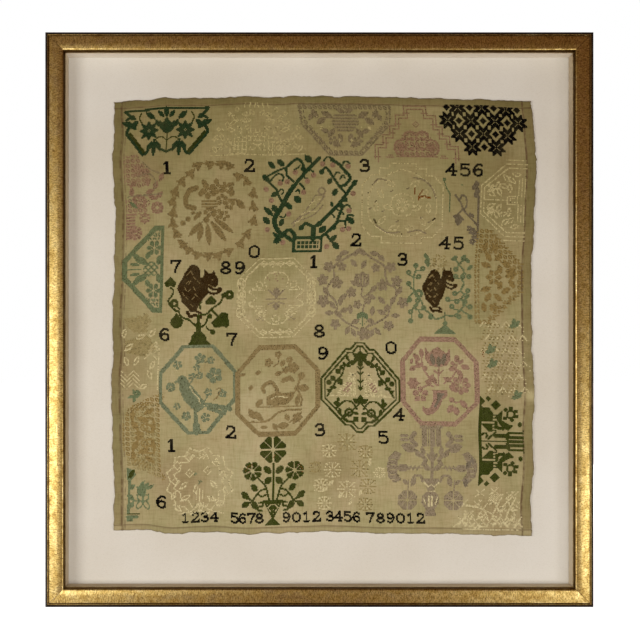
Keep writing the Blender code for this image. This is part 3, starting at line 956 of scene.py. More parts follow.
def tealTree():
    # a tree in a latticed tub, with club-shaped leaves, curling twigs and faded berries
    needle = Needle("teal", 191, 102)
    needle.fill((-14, 37), (16, 37), (16, 53), (-14, 53))
    needle.thread = -1
    needle.line((-10.5, 40.5), (12.5, 40.5), (12.5, 49.5), (-10.5, 49.5), closed=True)
    for x in range(-6, 12, 4):
        needle.line((x, 41), (x, 49))
    needle.line((-10, 45), (12, 45))
    needle.thread = threadNames.index("teal")
    stems = (
        (4.6, ((-25, 35), (-30, 29), (-33, 22), (-32, 16), (-28, 10), (-24, 3), (-19, -6), (-14, -13))),
        (3.4, ((-14, -13), (-7, -21), (-1, -28), (6, -35), (12, -41))),
        (3.6, ((-11, 38), (-15, 32), (-19, 30), (-23, 34), (-14, 41))),
        (2.4, ((-25, 3), (-30, -7), (-31, -11), (-39, -19), (-43, -23))),
        (1.7, ((-38, -18), (-30, -26), (-24, -24), (-25, -19), (-28, -20))),
        (1.8, ((-39, -24), (-30, -29), (-21, -32))),
        (2.4, ((-21, -32), (-14, -38), (-9, -40), (-5, -36), (-3, -30))),
        (2.2, ((-21, -31), (-20, -24), (-14, -18))),
        (1.2, ((-13, -30), (-10, -31), (-7, -34))),
        (1.2, ((-30, -8), (-26, -11), (-24, -8), (-26, -6))),
        (1.4, ((-12, -8), (-9, -10), (-8, -6))),
        (1.6, ((-8, -16), (-5, -13), (-3, -10))),
        (1.6, ((0, -28), (3, -29), (6, -27))),
        (1.4, ((-4, -23), (-2, -21), (1, -20))),
        (1.6, ((-28, 16), (-24, 17), (-21, 14))),
        (4.2, ((6, 40), (6, 34), (6, 28))),
        (2.8, ((5, 27), (-2, 24), (-6, 28))),
        (3.2, ((6, 28), (14, 22), (21, 15), (29, 7), (36, -2), (43, -12), (47, -18))),
        (2.8, ((13, 38), (22, 31), (29, 23), (31, 17), (34, 9))),
        (2.2, ((18, 34), (24, 41), (30, 47))),
        (2.0, ((31, 22), (38, 21), (40, 16), (45, 16))),
        (1.6, ((32, 5), (34, 10), (37, 6), (41, 6), (43, 11))),
        (1.4, ((29, 10), (33, 12), (36, 15))),
        (1.4, ((37, 22), (38, 27), (36, 29))),
        (1.4, ((19, 15), (24, 15), (27, 18))),
        (2.4, ((38, -6), (32, -12), (26, -21), (20, -30), (17, -31), (14, -26))),
        (2.8, ((24, -39), (31, -35), (37, -28), (42, -22), (38, -15), (33, -13))),
        (1.7, ((16, -38), (20, -42), (26, -40))),
        (1.6, ((34, -33), (37, -38), (42, -36))),
        (1.5, ((26, -22), (29, -27), (32, -26))),
        (1.5, ((32, -20), (35, -24), (37, -21))),
    )
    for wide, path in stems:
        needle.curve(*path, wide=wide)
    needle.leaves(
        (-39, 11, 12, 4.4, -42), (-41, 20, 9, 5.4, -40), (-33, 8, 8, 5.4, -60), (-26, 22, 9, 4, 58),
        (-30, 36, 12, 3.6, -44), (-30, 40, 8, 5.4, 30), (-19, 6, 9, 5, -38), (-10, 0, 10, 5.6, -45),
        (-33, -6, 8, 4, 38), (-41, -22, 8, 5.4, -45), (-35, -35, 10, 4.6, -48), (-26, -37, 10, 5, -46),
        (1, -40, 10, 5.6, -50), (-6, 28, 6, 4.6, 40), (15, 30, 9, 5.6, 40), (26, 39, 10, 4, 48),
        (29, 46, 9, 5.6, -45), (43, 21, 8, 5.6, -45), (37, 0, 7, 5, -40), (33, 6, 6, 4, 60),
        (14, -27, 6, 4, 60), (22, -18, 7, 4.6, 60), (27, -7, 8, 5, 50), (46, -16, 9, 4, 50),
        (12, 24, 7, 5, 60), (26, 28, 6, 4, -60), (-4, -30, 6, 4, 80), (24, 5, 6, 3, 110),
    )  # fmt: skip
    berry = Needle("pink", 191, 102)
    berries = (
        (-41, -11), (-36, 0), (-40, 29), (-24, 42), (-27, -17), (-20, -18), (-12, -27), (6, -24), (0, -18),
        (-4, -7), (-19, 14), (15, -35), (25, -34), (40, -33), (45, -6), (41, 11), (35, 30), (41, 29),
        (20, 47),
    )  # fmt: skip
    for x, y in berries:
        berry.disc(x, y, 2.3)
    # the faded bird is little more than its outlines
    bird = Needle("mauve", 191, 102)
    bird.curve((-16, 24), (-8, 18), (0, 14), (8, 8), (15, -1), (16, -6), wide=1)
    bird.curve((-14, 27), (-10, 19), (-2, 11), (4, 3), (8, -4), (17, -3), wide=1)
    bird.curve((-12, 22), (-2, 19), (8, 14), (15, 6), wide=1)
    bird.disc(14, -8, 4, hole=2.8)
    pale = Needle("cream", 191, 102)
    pale.curve((-6, 15), (0, 12), (8, 12))
    pale.curve((2, 6), (6, 2), (12, 0))
    pale.curve((-13, 23), (-8, 21), (-4, 16))


def creamMedallion():
    needle = Needle("cream", 285, 107)
    for flip in bothSides:
        side = Needle("cream", 285, 107, flip)
        side.line(
            (0, -42), (13, -42), (13, -37), (23, -37), (23, -30), (31, -30), (40, -20), (40, 20), (31, 31),
        )  # fmt: skip
        side.line((31, 31), (20, 31), (20, 37), (0, 37))
        side.curve((0, -36), (10, -33), (18, -28), (28, -20), (33, -10), (34, 0))
        side.curve((34, 0), (32, 14), (22, 24), (10, 29), (0, 30))
        for x, y, angle in (
            (12, -22, 30), (22, -12, 60), (26, 2, 90), (20, 15, 130), (8, 22, 160), (14, 2, 20),
        ):  # fmt: skip
            side.leaf(x, y, 11, 5, angle, hollow=1)
        side.curve((0, -12), (8, -10), (11, -2), (8, 8), (0, 10))
    needle.bloom(0, -1, 7, 8, hole=2, gap=0.6)
    grey = Needle("mauve", 285, 107)
    grey.curve((10, -28), (20, -26), (29, -18), (33, -8))
    grey.curve((-26, 20), (-14, 27), (-2, 26))
    grey.curve((6, 26), (16, 24), (24, 27))
    grey.curve((-30, -20), (-24, -26), (-16, -25))
    for x, y in ((-20, 6), (4, -17), (18, 12), (-12, -14), (-6, 16), (26, 16), (-33, 4)):
        grey.dot((x, y), (x + 1, y), (x + 2, y - 1))
    rust = Needle("rust", 285, 107)
    rust.line((12, -18), (12, -12))
    rust.line((20, -16), (16, -10), (16, -6))
    rust.curve((16, -8), (21, -10), (24, -9), (28, -8), wide=1.4)
    speck = Needle("brown", 285, 107)
    speck.line((30, 14), (33, 12), wide=1.4)
    speck.line((-28, 14), (-26, 18))
    speck.dot((-26, -4), (-27, -3), (0, 28), (-34, -12))


def lilacSprigs():
    needle = Needle("violet", 350, 112)
    for x, y, angle in ((8, -28, 100), (6, -25, 40), (9, -21, 80), (8, -17, 130)):
        needle.leaf(x, y, 7, 4.4, angle)
    needle.line((10.5, -16), (10.5, 30))
    needle.curve((-13, -17), (-7, -9), (-4, -3), (-1, -7), (-2, -14), (-6, -17), (-8, -12), wide=1.5)
    needle.line((-5, -3), (-13, 6), wide=1.5)
    needle.line((-5, -3), (10, 13), wide=1.6)
    needle.leaves((-9, 6, 11, 6, -20), (-9, 9, 9, 6, 80), (4, 3, 7, 3, -30))
    for x, y, size in ((5, 19, 4), (2, 16, 3), (8, 23, 4), (6, 29, 3.6)):
        needle.bloom(x, y, size, 5, hole=0.6)
    moss = Needle("sea", 350, 112)
    moss.curve((-25, -33), (-22, -24), (-18, -16), (-18, 0))
    moss.disc(-24, -32, 1.6)
    moss.dot((-7, -27), (-6, -27))


def creamHalfMedallion():
    for flip in upAndDown:
        needle = Needle("cream", 385, 99, flip)
        needle.line((-22, 0), (-22, 14), (2, 36), (22, 36))
        needle.line((-19, 0), (-19, 12), (4, 32), (22, 32))
        for k in range(3):
            needle.line((15 + 3 * k, 4), (15 + 3 * k, 20 + 2 * k))
        needle.line((2, 40), (22, 40))
        needle.line((-18, 0), (4, 0))
        needle.line((4, 0), (4, 3.6), (14, 3.6), (14, 0))
        needle.line((7, 0), (7, 1.6), (12, 1.6))
        for x, y, angle in (
            (-12, 6, 30), (-4, 8, 60), (0, 14, 20), (6, 12, 80), (8, 20, 40), (-6, 14, 100), (12, 26, 10),
            (2, 22, 50),
        ):  # fmt: skip
            needle.leaf(x, y, 9, 4, angle, hollow=1)
        needle.bloom(-12, 11, 4.4, 5, hole=1)


def pinkHalfMedallion():
    pink = Needle("pink", 11, 96)
    pink.only = seeded
    pink.fill((0, -40), (13, -42), (22, -26), (26, -14), (16, -8), (0, -12))
    pink.fill((0, 4), (16, -2), (24, 6), (20, 16), (8, 20), (0, 14))
    pink.only = ribbed
    pink.fill((0, 18), (8, 18), (10, 42), (0, 44))
    pink.only = None
    pink.bloom(30.5, 12.5, 6.4, 8, hole=1, gap=0.3, depth=0.2)
    pink.bloom(18, 22.5, 5.6, 8, hole=1, gap=0.3, depth=0.2)
    pink.bloom(8.5, 37.5, 7.4, 8, hole=0, gap=0.35, depth=0.25)
    pink.bloom(13, 6, 8, 7, hole=1, gap=0.5, depth=0.3)
    pink.bloom(13, -25, 6, 6, hole=1, gap=0.4)
    pink.bloom(21, -24, 4, 5, hole=1)
    for x, y, angle in (
        (24, -4, 20), (30, -10, 60), (22, -14, 100), (8, -12, 40), (6, -4, 80), (26, 2, -30), (33, 0, 40),
        (36, -18, 60),
    ):  # fmt: skip
        pink.leaf(x, y, 9, 4, angle)
    brown = Needle("mauve", 11, 96)
    brown.line((3, 0), (36, -1))
    brown.curve((14, -20), (24, -22), (30, -14), (28, -6))
    brown.curve((18, -34), (26, -26), (34, -22))
    sprig = Needle("sea", 11, 96)
    sprig.leaf(7, 9, 9, 3, -45)
    sprig.dot((4, 3), (5, 4), (11, 12), (12, 14), (2, 1))


def tealHalfMedallion():
    for flip in upAndDown:
        sea = Needle("sea", 48, 170, flip)
        sea.line((-1, 0), (-1, 42), wide=3.4)
        sea.line((-3, 41), (-8, 41), (-38, 9), (-38, 0), wide=4.6)
        sea.bloom(-9, 21.5, 7.6, 6, hole=1, gap=0.4, depth=0.3)
        sea.leaves(
            (-22, 9, 17, 6, 28), (-27, 13, 10, 4, 40), (-15, 14, 8, 4, 110), (-4, 9, 9, 5, 100),
            (-28, 5, 10, 3, 8),
        )  # fmt: skip
        sea.only = seeded
        sea.fill((-3, 40), (-3, 29), (-10, 30), (-18, 28))
        sea.only = lozenge
        sea.disc(-12, 0, 7.6)
        sea.only = None
    Needle("sea", 48, 170).line((-36, 0), (-22, 0), wide=1.4)


def creamZigzag():
    # a lace of cream zigzags over a faded tan leaf
    tan = Needle("fawn", 27, 250, only=net)
    tan.leaf(-4, -24, 26, 14, 150)
    tan.fill((-16, -8), (6, -14), (16, -2), (4, 8), (-14, 4))
    tan.bloom(4, -28, 8, 5, hole=1)
    needle = Needle("cream", 27, 250)
    for k in range(4):
        needle.line((4 + 2 * k, 10 - 4 * k), (10 + 2 * k, 4 - 4 * k), (16, 10 - 4 * k))
        needle.line((-18, 22 + 4 * k), (-12, 28 + 4 * k), (-6, 22 + 4 * k), (0, 28 + 4 * k))
    for x, y, angle in (
        (-12, -2, 40), (-4, 12, 70), (10, 26, 120), (4, 38, 30), (-14, 12, 110), (12, 16, 60),
        (-16, -16, 80), (0, -12, 20), (12, -16, 50),
    ):  # fmt: skip
        needle.leaf(x, y, 10, 4, angle, hollow=1)
    needle.line((18, -4), (18, 40))
    sprig = Needle("sea", 22, 297)
    for x, y, angle in ((0, -3, 110), (3, 0, 50), (-3, 1, 20), (0, 3, 80), (4, -3, 130)):
        sprig.leaf(x, y, 7, 3, angle)


def tanHalfMedallion():
    for flip in upAndDown:
        needle = Needle("brass", 46, 337, flip)
        faint = Needle("fawn", 46, 337, flip, only=seeded)
        faint.fill((2, 0), (2, 40), (-24, 26), (-30, 12), (-30, 0))
        needle.only = seeded
        needle.line((0, 0), (0, 34), wide=2.4)
        needle.line((2, 40), (-28, 26), (-33, 12), (-33, 0), wide=6)
        needle.only = twill
        needle.fill((-30, 22), (-14, 26), (-6, 34), (-26, 30))
        needle.only = None
        needle.leaves(
            (-24, 10, 12, 5, 60), (-16, 16, 12, 5, 20), (-26, 20, 9, 4, 100), (-10, 24, 11, 4, -30),
            (-6, 8, 10, 4, 110), (-20, 2, 10, 4, 10),
        )  # fmt: skip
        needle.disc(-9, 14, 5, hole=3)
        needle.disc(-15, 8, 4, hole=2.4)
        needle.curve((-4, 4), (-12, 4), (-16, 10), wide=1.4)
    lower = Needle("fawn", 46, 337, only=seeded)
    lower.fill((-33, 20), (-20, 26), (-2, 34), (3, 42), (-18, 36), (-32, 30))


def greenCornerSprig():
    sea, green = Needle("sea", 25, 399), Needle("green", 25, 399)
    sea.fill((-12, -30), (-6, -27), (-3, -22), (-7, -18), (-12, -17))
    green.leaf(-8, -23, 11, 4, 60)
    sea.line((-10, -18), (-11, 16), wide=2.4)
    sea.leaves((-8, -10, 8, 4, 40), (-9, 0, 8, 4, 140), (-8, 8, 8, 4, 50))
    sea.fill((-3, -10), (4, -13), (7, -8), (6, -3), (1, 0), (-2, -4))
    for x, y, angle in ((2, -12, 55), (6, -11, 45), (10, -10, 35)):
        sea.leaf(x, y, 10, 2.8, angle)
    for x, y, angle in ((6, 1, 50), (0, 8, 60), (7, 8, -60), (1, 1, -40)):
        sea.leaf(x, y, 10, 5.6, angle, hollow=1.5)
    sea.curve((-9, 2), (-4, 4), (3, 4), (4, 8), wide=1.4)
    green.line((-12, 17), (0, 17), wide=1.8)
    sea.line((-12, 20), (-2, 20), wide=2)
    sea.fill((-12, 21), (-6, 21), (-6, 25), (-12, 25))


def brownHalfMedallion():
    for flip in upAndDown:
        needle = Needle("brass", 383, 176, flip)
        needle.only = seeded
        needle.line((-21, 0), (-21, 44), wide=4.4)
        needle.line((-18, 45), (-12, 45), (22, 12), (23, 0), wide=5.4)
        needle.only = None
        for k in range(9):
            needle.line((-12 + 4 * k, 46 - 4 * k), (-7 + 4 * k, 46 - 4 * k), wide=1.6)
        needle.leaves(
            (-12, 12, 11, 5, 20), (-10, 20, 10, 5, 60), (-14, 30, 10, 5, 100), (0, 20, 10, 5, -40),
            (8, 13, 10, 5, 30), (2, 8, 9, 5, 70), (14, 6, 10, 5, 120),
        )  # fmt: skip
        needle.bloom(-4, 30, 5, 5, hole=1)
    upper = Needle("brass", 383, 176, only=seeded)
    upper.fill((-20, -44), (-8, -44), (20, -18), (22, -6), (8, -10), (-4, -22), (-18, -24))
    middle = Needle("brass", 383, 176)
    middle.bloom(-4, 0, 8, 6, hole=1.4, gap=0.4)
    middle.bloom(13, -4, 6, 5, hole=1)


def creamBesideSea():
    # cream and fawn hairlines with sea-green sprigs, along the right hem
    needle = Needle("cream", 385, 257)
    for row in range(6):
        for k in range(4):
            x, y = -16 + 11 * k + 5 * (row % 2), -32 + 13 * row
            needle.line((x - 4, y), (x, y - 5), (x + 4, y))
            needle.dot((x + 6, y + 4), (x + 6, y), (x, y))
    fawn = Needle("fawn", 385, 257)
    for row in range(12):
        for k in range(9):
            x, y = -18 + 4 * k + 2 * (row % 2), -34 + 6 * row
            if (k + 2 * row) % 5:
                fawn.dot((x, y), (x + 1, y), (x + 1, y + 1), (x, y + 3), (x - 1, y + 3))
    sea = Needle("sea", 385, 257)
    for x, y in ((14, -35), (-10, -9), (-9, 5), (14, 36)):
        sea.leaf(x, y - 1, 9, 4, 100)
        sea.leaf(x + 2, y, 9, 4, 50)
        sea.leaf(x - 2, y + 2, 7, 3.4, 20)
    rust = Needle("rust", 385, 257)
    rust.dot((-18, -8), (-17, -6), (-18, -4), (-17, -2))


def darkGreenHalfMedallion():
    for flip in upAndDown:
        needle = Needle("green", 385, 339, flip)
        needle.line((-21, 0), (-21, 34), wide=2.4)
        needle.fill((-23, 33.5), (-17, 39), (-22.5, 45))
        needle.fill((-14.3, 39.6), (-11.6, 42.3), (-14.3, 45), (-17, 42.3))
        needle.fill((-6, 31), (-1, 36), (-6, 41), (-11, 36))
        needle.fill((-21.5, 19.5), (-8, 19.5), (-8.6, 28), (-13, 33.5), (-21.5, 34))
        needle.fill((-19.5, 17.5), (-8, 17.5), (-8, 9), (-12, 10))
        for k in range(6):
            needle.line((-9, 11 + 3 * k), (-5.6, 11 + 3 * k), wide=1.2)
        needle.curve((-19, 6.4), (-16, 8), (-13.6, 6), (-15, 3.4), wide=1.8)
        needle.line((-20, 0), (6, 0), wide=1.2)
        needle.line((-13, 2), (-5, 9.6), wide=1.6)
        needle.line((-5, 5.7), (3.4, 5.7), wide=4.2)
        needle.line((-5.4, 19), (-5.4, 14), (2, 12.4), wide=3)
        for y, wide in ((0, 2.6), (4.2, 3.4), (8.2, 2.2)):
            needle.line((7, y), (21, y), wide=wide)
        needle.curve((7, 0), (6, 4), (8, 8.4), wide=2.4)
        needle.line((21, 8), (22, 11), wide=1)
        needle.fill((-6, 24), (0, 30.5), (1, 21), (6, 17.5), (12, 16), (7, 10.6), (2, 13), (-2, 18))
        needle.disc(8.6, 27, 4.6, hole=2.6)
        for x, y in ((3.4, 31.6), (8.6, 33), (13.4, 30), (14.6, 25), (10.6, 21.6), (3.6, 23)):
            needle.disc(x, y, 1.9)
        needle.disc(18.6, 17, 2.1)


def creamBranch():
    needle = Needle("cream", 373, 405)
    for x, y in (
        (-8, -14), (6, -16), (22, -12), (-24, -3), (-10, -3), (6, -6), (16, 2), (28, -2), (-20, 10),
        (-4, 8), (8, 14), (22, 12), (30, 16), (-12, 20),
    ):  # fmt: skip
        needle.line((x - 4, y + 3), (x, y), (x + 4, y - 4))
        needle.line((x, y), (x - 3, y - 3))
        needle.line((x + 1, y), (x + 4, y + 2))
        needle.dot((x - 1, y + 2), (x + 2, y - 4))
    for k in range(9):
        low, high = 7 * k - 30, 20 - min(26, 4 * k + 8)
        needle.line((low, 19), (low + 8, 9))
        needle.line((low, 9), (low + 8, 19))
        if k % 2:
            needle.line((low, 8), (low + 9, high - 4))
            needle.line((low + 9, 8), (low, high - 4))
    needle.curve((-24, -2), (-10, 0), (4, 6), (18, 18), wide=1.2)
    needle.curve((30, -16), (18, -4), (10, 6), wide=1.2)
    needle.line((14, 2), (30, 2))
    needle.only = net
    needle.leaf(8, -10, 16, 7, 20)
    needle.only = None
    needle.curve((-34, 20), (-26, 14), (-18, 19), (-4, 19), (2, 14))
    needle.line((-26, 22), (30, 22))


def squirrel(right, down, flip, size, headUp=0):
    # sits up with a nut in its paws; the tail stands up behind it
    def posed(points, lift=1.0):
        moved = []
        for x, y in points:
            raised = headUp * lift * min(1, max(0, x + 2) / 3) if y < -5 else 0
            moved.append((x * size, (y - raised) * size))
        return moved

    body = Needle("brown", right, down, flip)
    outline = (
        (-13, -35), (-9, -37), (-4, -34), (-2, -29), (-2, -24), (0, -23), (1, -25), (2, -32), (6, -27),
        (10, -28), (11.5, -32), (12.5, -26), (15, -23), (16, -18), (15, -15), (12, -13), (6, -15), (5, -6),
        (1, -2), (-2, 2), (-4, 7), (-6, 10), (-11, 10), (-15, 5), (-20, 0), (-22, -7), (-25, -13),
        (-24, -16), (-22, -20), (-20, -23), (-18, -28),
    )  # fmt: skip
    body.fill(*posed(outline))
    for wide, path in (
        (2.0, ((5, -15), (10, -12), (15, -11), (18, -12))), (2.0, ((4, -10), (11, -7), (17, -9))),
        (2.8, ((-14, 11), (-11, 15), (-6, 14), (-1, 16))), (2.2, ((-11, 9), (-5, 10), (-1, 12))),
    ):  # fmt: skip
        body.curve(*posed(path, 0.8), wide=wide * size)
    body.disc(17 * size, (-11 - 0.8 * headUp) * size, 2.5 * size)
    flecks = Needle("tan", right, down, flip)
    for x, y, dx, dy in (
        (-16, -26, 3, -3), (-12, -30, 2, 3), (-18, -14, 2, 3), (-16, -18, 2, -2), (-12, -20, -2, 3),
        (-9, -24, 2, 2), (-20, -9, 2, 3), (-14, -10, 2, -2), (-9, -14, 2, 3), (-16, -4, 2, 2),
        (-10, -2, 2, -2), (-7, -7, 2, 2), (-11, 3, 2, 2), (-5, -20, 2, 2),
    ):  # fmt: skip
        flecks.line((x * size, y * size), ((x + dx) * size, (y + dy) * size), wide=0.9)
    flecks.dot(*posed(((9, -21), (10, -21))))
    flecks.line(*posed(((6, -16), (11, -14))))


def squirrelPlant():
    needle = Needle("green", 88, 202)
    needle.line((-3, 14), (-3, 24), wide=2)
    needle.line((-3, 22), (-3, 32), wide=4.2)
    needle.fill((-7, 31), (1, 31), (4, 35), (5, 39), (9, 43.5), (-14, 43.5), (-11, 39), (-10, 35))
    for wide, path in (
        (1.7, ((-5, 25), (-13, 18), (-17, 17), (-21, 14), (-23, 10), (-26, 9), (-32, 3), (-33, -2), (-30, -6),
               (-29, -11), (-32, -14))),
        (1.7, ((-2, 14), (5, 13), (10, 8), (18, 2), (21, -5))),
        (1.5, ((0, 26), (5, 21), (6, 17), (8, 15))),
        (1.5, ((10, 9), (13, 12), (17, 16))),
        (1.4, ((5, 25), (6, 28), (10, 30))),
        (1.4, ((-25, 15), (-24, 19))),
        (1.4, ((-24, 5), (-22, 8))),
        (1.4, ((-1, 8), (-2, 3), (0, 1))),
    ):  # fmt: skip
        needle.curve(*path, wide=wide)
    needle.fill((-32, -25), (-26, -18), (-28, -14), (-32, -15.5), (-36, -14), (-38.5, -18))
    needle.disc(-27.4, 1.7, 4.2, hole=1.5)
    needle.disc(-24.7, 20.6, 6)
    needle.leaves((-24.7, 16, 8, 5, 90), (-24.7, 20, 14, 5, 10))
    needle.fill((9, -6), (15, 0.5), (12.5, 4), (8.7, 3), (5, 4), (3, 0.5))
    needle.disc(27, -6, 4.8)
    needle.leaf(24, -6, 10, 5, 0)
    needle.disc(8.4, 15.4, 2.6)
    needle.leaf(11, 31, 6, 5, -30)
    needle.fill(
        (10, 22), (16, 15.5), (21, 11), (26, 12.5), (27, 18), (28, 24), (25, 26.5), (20.5, 25), (17, 26.5),
        (12.5, 26),
    )  # fmt: skip
    Needle("cream", 88, 202).dot((27, -7), (27, -6), (28, -6))


def seaVine():
    needle = Needle("sea", 328, 198)
    needle.line((2, 14), (2, 24), wide=1.8)
    needle.disc(2.4, 25, 2.4)
    needle.fill((2, 26), (14, 36), (-10, 36))
    stems = (
        (2, 18), (-7, 21), (-11, 17), (-18, 11), (-22, 2), (-28, -7), (-32, -10), (-34, -16),
    ), (
        (-29, -7), (-29, -20), (-27, -27), (-27, -33),
    ), (
        (-28, -7), (-34, 0), (-36, 6),
    ), (
        (-18, 11), (-24, 12), (-30, 10),
    ), (
        (3, 17), (11, 17), (17, 12), (21, 6), (19, 0), (21, -4), (18, -8), (21, -15), (19, -20), (21, -27),
        (16, -34), (12, -39),
    ), (
        (18, 11), (22, 14), (26, 16),
    ), (
        (20, 2), (26, -2),
    ), (
        (16, -34), (20, -38), (24, -40),
    )  # fmt: skip
    for path in stems:
        needle.curve(*path, wide=1.5)
    rings = (
        (-27, -32), (-20, -29), (-34, -25), (-24, -21), (-34, -14), (-33, 2), (-25, 3), (-19, 10),
        (-32, 14), (-22, 18), (-32, 23), (-12, 19), (5, 1), (12, -5), (25, -8), (13, -22), (20, -22),
        (26, -22), (13, -29), (27, 8), (16, 18), (27, 18), (9, 8), (14, 3),
    )  # fmt: skip
    joints = [point for path in stems for point in path]
    for x, y in rings:
        needle.disc(x, y, 2.8, hole=0.9)
        nearest = min(joints, key=lambda point: math.dist(point, (x, y)))
        needle.line((x, y + 2), nearest)
    needle.disc(-24, -4, 4.4, hole=1.6)
    for x, y, angle in (
        (11, -40, 30), (20, -41, 40), (24, -38, -50), (27, -31, 45), (22, 4, 60), (-17, -41, -60),
        (-16, -37, 40), (-15, -34, 90), (-27, 8, 60), (24, -2, 50),
    ):  # fmt: skip
        needle.leaf(x, y, 7, 3.4, angle)
    pale = Needle("fawn", 328, 200, only=seeded)
    pale.bloom(-4, -37, 9, 7, hole=1.4, gap=0.5)


def creamOctagon():
    needle = Needle("cream", 162, 199)
    for across in (1, -1):
        for way in (1, -1):
            side = Needle("cream", 162, 199, (across, way))
            for inset in (0, 5):
                side.line(
                    (0, -39 + inset), (17, -39 + inset), (38 - inset, -18 + inset * 0.3), (38 - inset, 0),
                )  # fmt: skip
            for x, y in ((35, -3.5), (35, -14.5)):
                side.disc(x, y, 5, hole=3.8)
                side.disc(x, y, 2.2, hole=1)
            for x in (4, 13):
                side.line((x, -36.5), (x - 4, -34), (x, -31.5), (x + 4, -34), closed=True)
                side.dot((x, -34))
            side.line((20, -31), (30, -21))
            side.leaf(17, -13, 8, 6, 60, hollow=1)
            side.curve((22, -10), (27, -6), (22, -2), (20, 0))
            side.curve((0, -26), (8, -24), (12, -18), (10, -11))
            side.line((12, -8), (26, -8))
    for x, y in ((0, 20), (-14, 16), (13, 16)):
        needle.disc(x, y, 4, hole=2.6)
    grey = Needle("mauve", 162, 199)
    for flip in bothSides:
        half = Needle("mauve", 162, 199, flip)
        half.line((1, 1), (10, 1))
        half.line((1, -2), (8, -8))
        half.line((2, 4), (8, 6))
        half.line((2, -9), (4, -4))
        half.dot((14, 19), (15, 20), (16, 19), (17, 21), (18, 22), (19, 21), (13, 22))
    grey.leaf(0, -5, 11, 4, 90)
    grey.bloom(0, 8, 3.6, 4, hole=0.8)
    blush = Needle("pink", 162, 199)
    blush.dot((-2, -24), (0, -22), (2, -24), (-1, -19), (1, -17), (-9, -20), (-7, -18), (6, -19))


def mauveWreath():
    # a wreath of stems with small blossoms, and one carnation in the middle
    needle = Needle("mauve", 248, 197)
    stems = (
        (-15, -38), (-26, -31), (-29, -26), (-29, -16), (-35, -8), (-34, -1), (-28, 5), (-25, 11), (-26, 18),
        (-19, 25), (-11, 30), (-4, 33),
    ), (
        (7, -38), (15, -34), (22, -29), (23, -19), (26, -12), (33, -8), (33, 1), (28, 9), (25, 19), (15, 26),
        (6, 30), (3, 33),
    ), (
        (0, -8), (-1, 0), (3, 5), (1, 12), (0, 22),
    ), (
        (0, 2), (6, -2), (11, -8),
    )  # fmt: skip
    for path in stems:
        needle.curve(*path, wide=1.7)
    needle.curve((-16, -38), (-10, -41), (-4, -46), (2, -42), (8, -38), wide=2)
    needle.fill((-10, -41), (-4, -47), (3, -42), (1, -39), (-4, -42), (-8, -38))
    flowers = (
        (-34, -28, 5.6), (-21, -28, 4.6), (-40, -15, 6), (-26, -12, 6.4), (-39, 6, 6.6), (13, -28, 4.6),
        (28, -29, 5.4), (20, -11, 6.2), (34, -15, 6), (40, 6, 6), (-11, -3, 5.4), (-5, 9, 4.8),
        (-27, 29, 5.4), (26, 29, 5.4), (1, 38, 6.8), (5, 5, 4),
    )  # fmt: skip
    for x, y, size in flowers:
        needle.bloom(x, y, size, 5, hole=0.9, depth=0.4, turn=30 * x)
    needle.fill((-9, -14), (-7, -22), (-3, -21), (0, -24), (4, -21), (7, -22), (7, -13), (3, -8), (-5, -8))
    for x, y, angle in (
        (-19, -42, 10), (11, -42, -10), (-9, -32, -50), (1, -31, 60), (-24, -37, 50), (18, -38, -40),
        (11, -7, 45), (-19, 2, 45), (-18, 15, 20), (-33, 18, 0), (19, 4, -45), (19, 16, -30), (33, 19, 0),
        (30, 4, 60), (-15, 35, 60), (-9, 37, -60), (9, 37, 60), (15, 35, -50), (-30, 10, 130),
        (-37, -4, 120), (37, -6, 60), (9, 1, -20), (-22, 6, 80), (-7, 26, 30), (8, 25, -30), (-8, -12, 150),
        (24, 12, 70), (-24, 19, 150), (-12, 14, 100), (10, 15, 80),
    ):  # fmt: skip
        needle.leaf(x, y, 9, 4.2, angle)
    needle.thread = -1
    for x in (-4, 0, 4):
        needle.line((x, -20), (x * 0.6, -11), wide=0.6)
    needle.thread = threadNames.index("sea")
    needle.leaves((-3, 20, 8, 4, 60), (3, 20, 8, 4, 120))
    needle.line((0, 16), (0, 30), wide=1.6)
    needle.dot((-4, 26), (4, 26), (-2, 28), (2, 28))


def blueOctagon():
    needle = Needle("blue", 85, 290)
    ring = ((-16, -43), (13, -43), (36, -18), (36, 9), (9, 43), (-10, 43), (-37, 13), (-37, -17))
    needle.line(*ring, wide=3.8, closed=True)
    # a bird on a branch
    needle.disc(-16, -10, 4.4)
    needle.line((-22, -8), (-18, -10), wide=2.4)
    needle.fill(
        (-19, -11), (-13, -14), (-8, -6), (0, 4), (6, 12), (6, 18), (-1, 23), (-7, 18), (-14, 10), (-18, 0),
    )  # fmt: skip
    needle.line((5, 15), (31, 19), wide=4.4)
    needle.line((10, 19), (26, 24), wide=3.6)
    needle.line((-3, 22), (-2, 44), wide=3.6)
    needle.fill((-5, 34), (1, 34), (3, 44), (-6, 44))
    flowers = (
        (-21, -25, 4.6), (1, -31, 5.6), (12, -29, 4), (-2, -22, 3.6), (16, -14, 8.2), (-6, -13, 3.8),
        (1, -14, 4), (-27, -3, 5), (10, 3, 4.2), (24, 4, 4.4), (-21, 16, 3.6), (-12, 26, 4.8), (7, 28, 5),
    )  # fmt: skip
    for x, y, size in flowers:
        needle.bloom(x, y, size, 5, hole=1 if size > 4 else 0, turn=25 * x, depth=0.3, gap=0.3)
    needle.line((-2, -26), (0, -18))
    needle.line((-5, -10), (-8, -6))
    needle.line((9, 7), (6, 12))
    needle.line((6, -27), (9, -28))
    Needle("tan", 85, 290).curve((18, 0), (22, -1), (20, 6), (15, 11))
    pale = Needle("cream", 85, 290)
    pale.curve((-8, -3), (-4, 4), (0, 8), (2, 14))
    pale.dot((16, -14), (17, -14), (16, -13), (6, 16), (9, 16), (-24, -18), (-26, -16), (-22, -20))
    Needle("black", 85, 290).dot((-16, -12), (-16, -11))


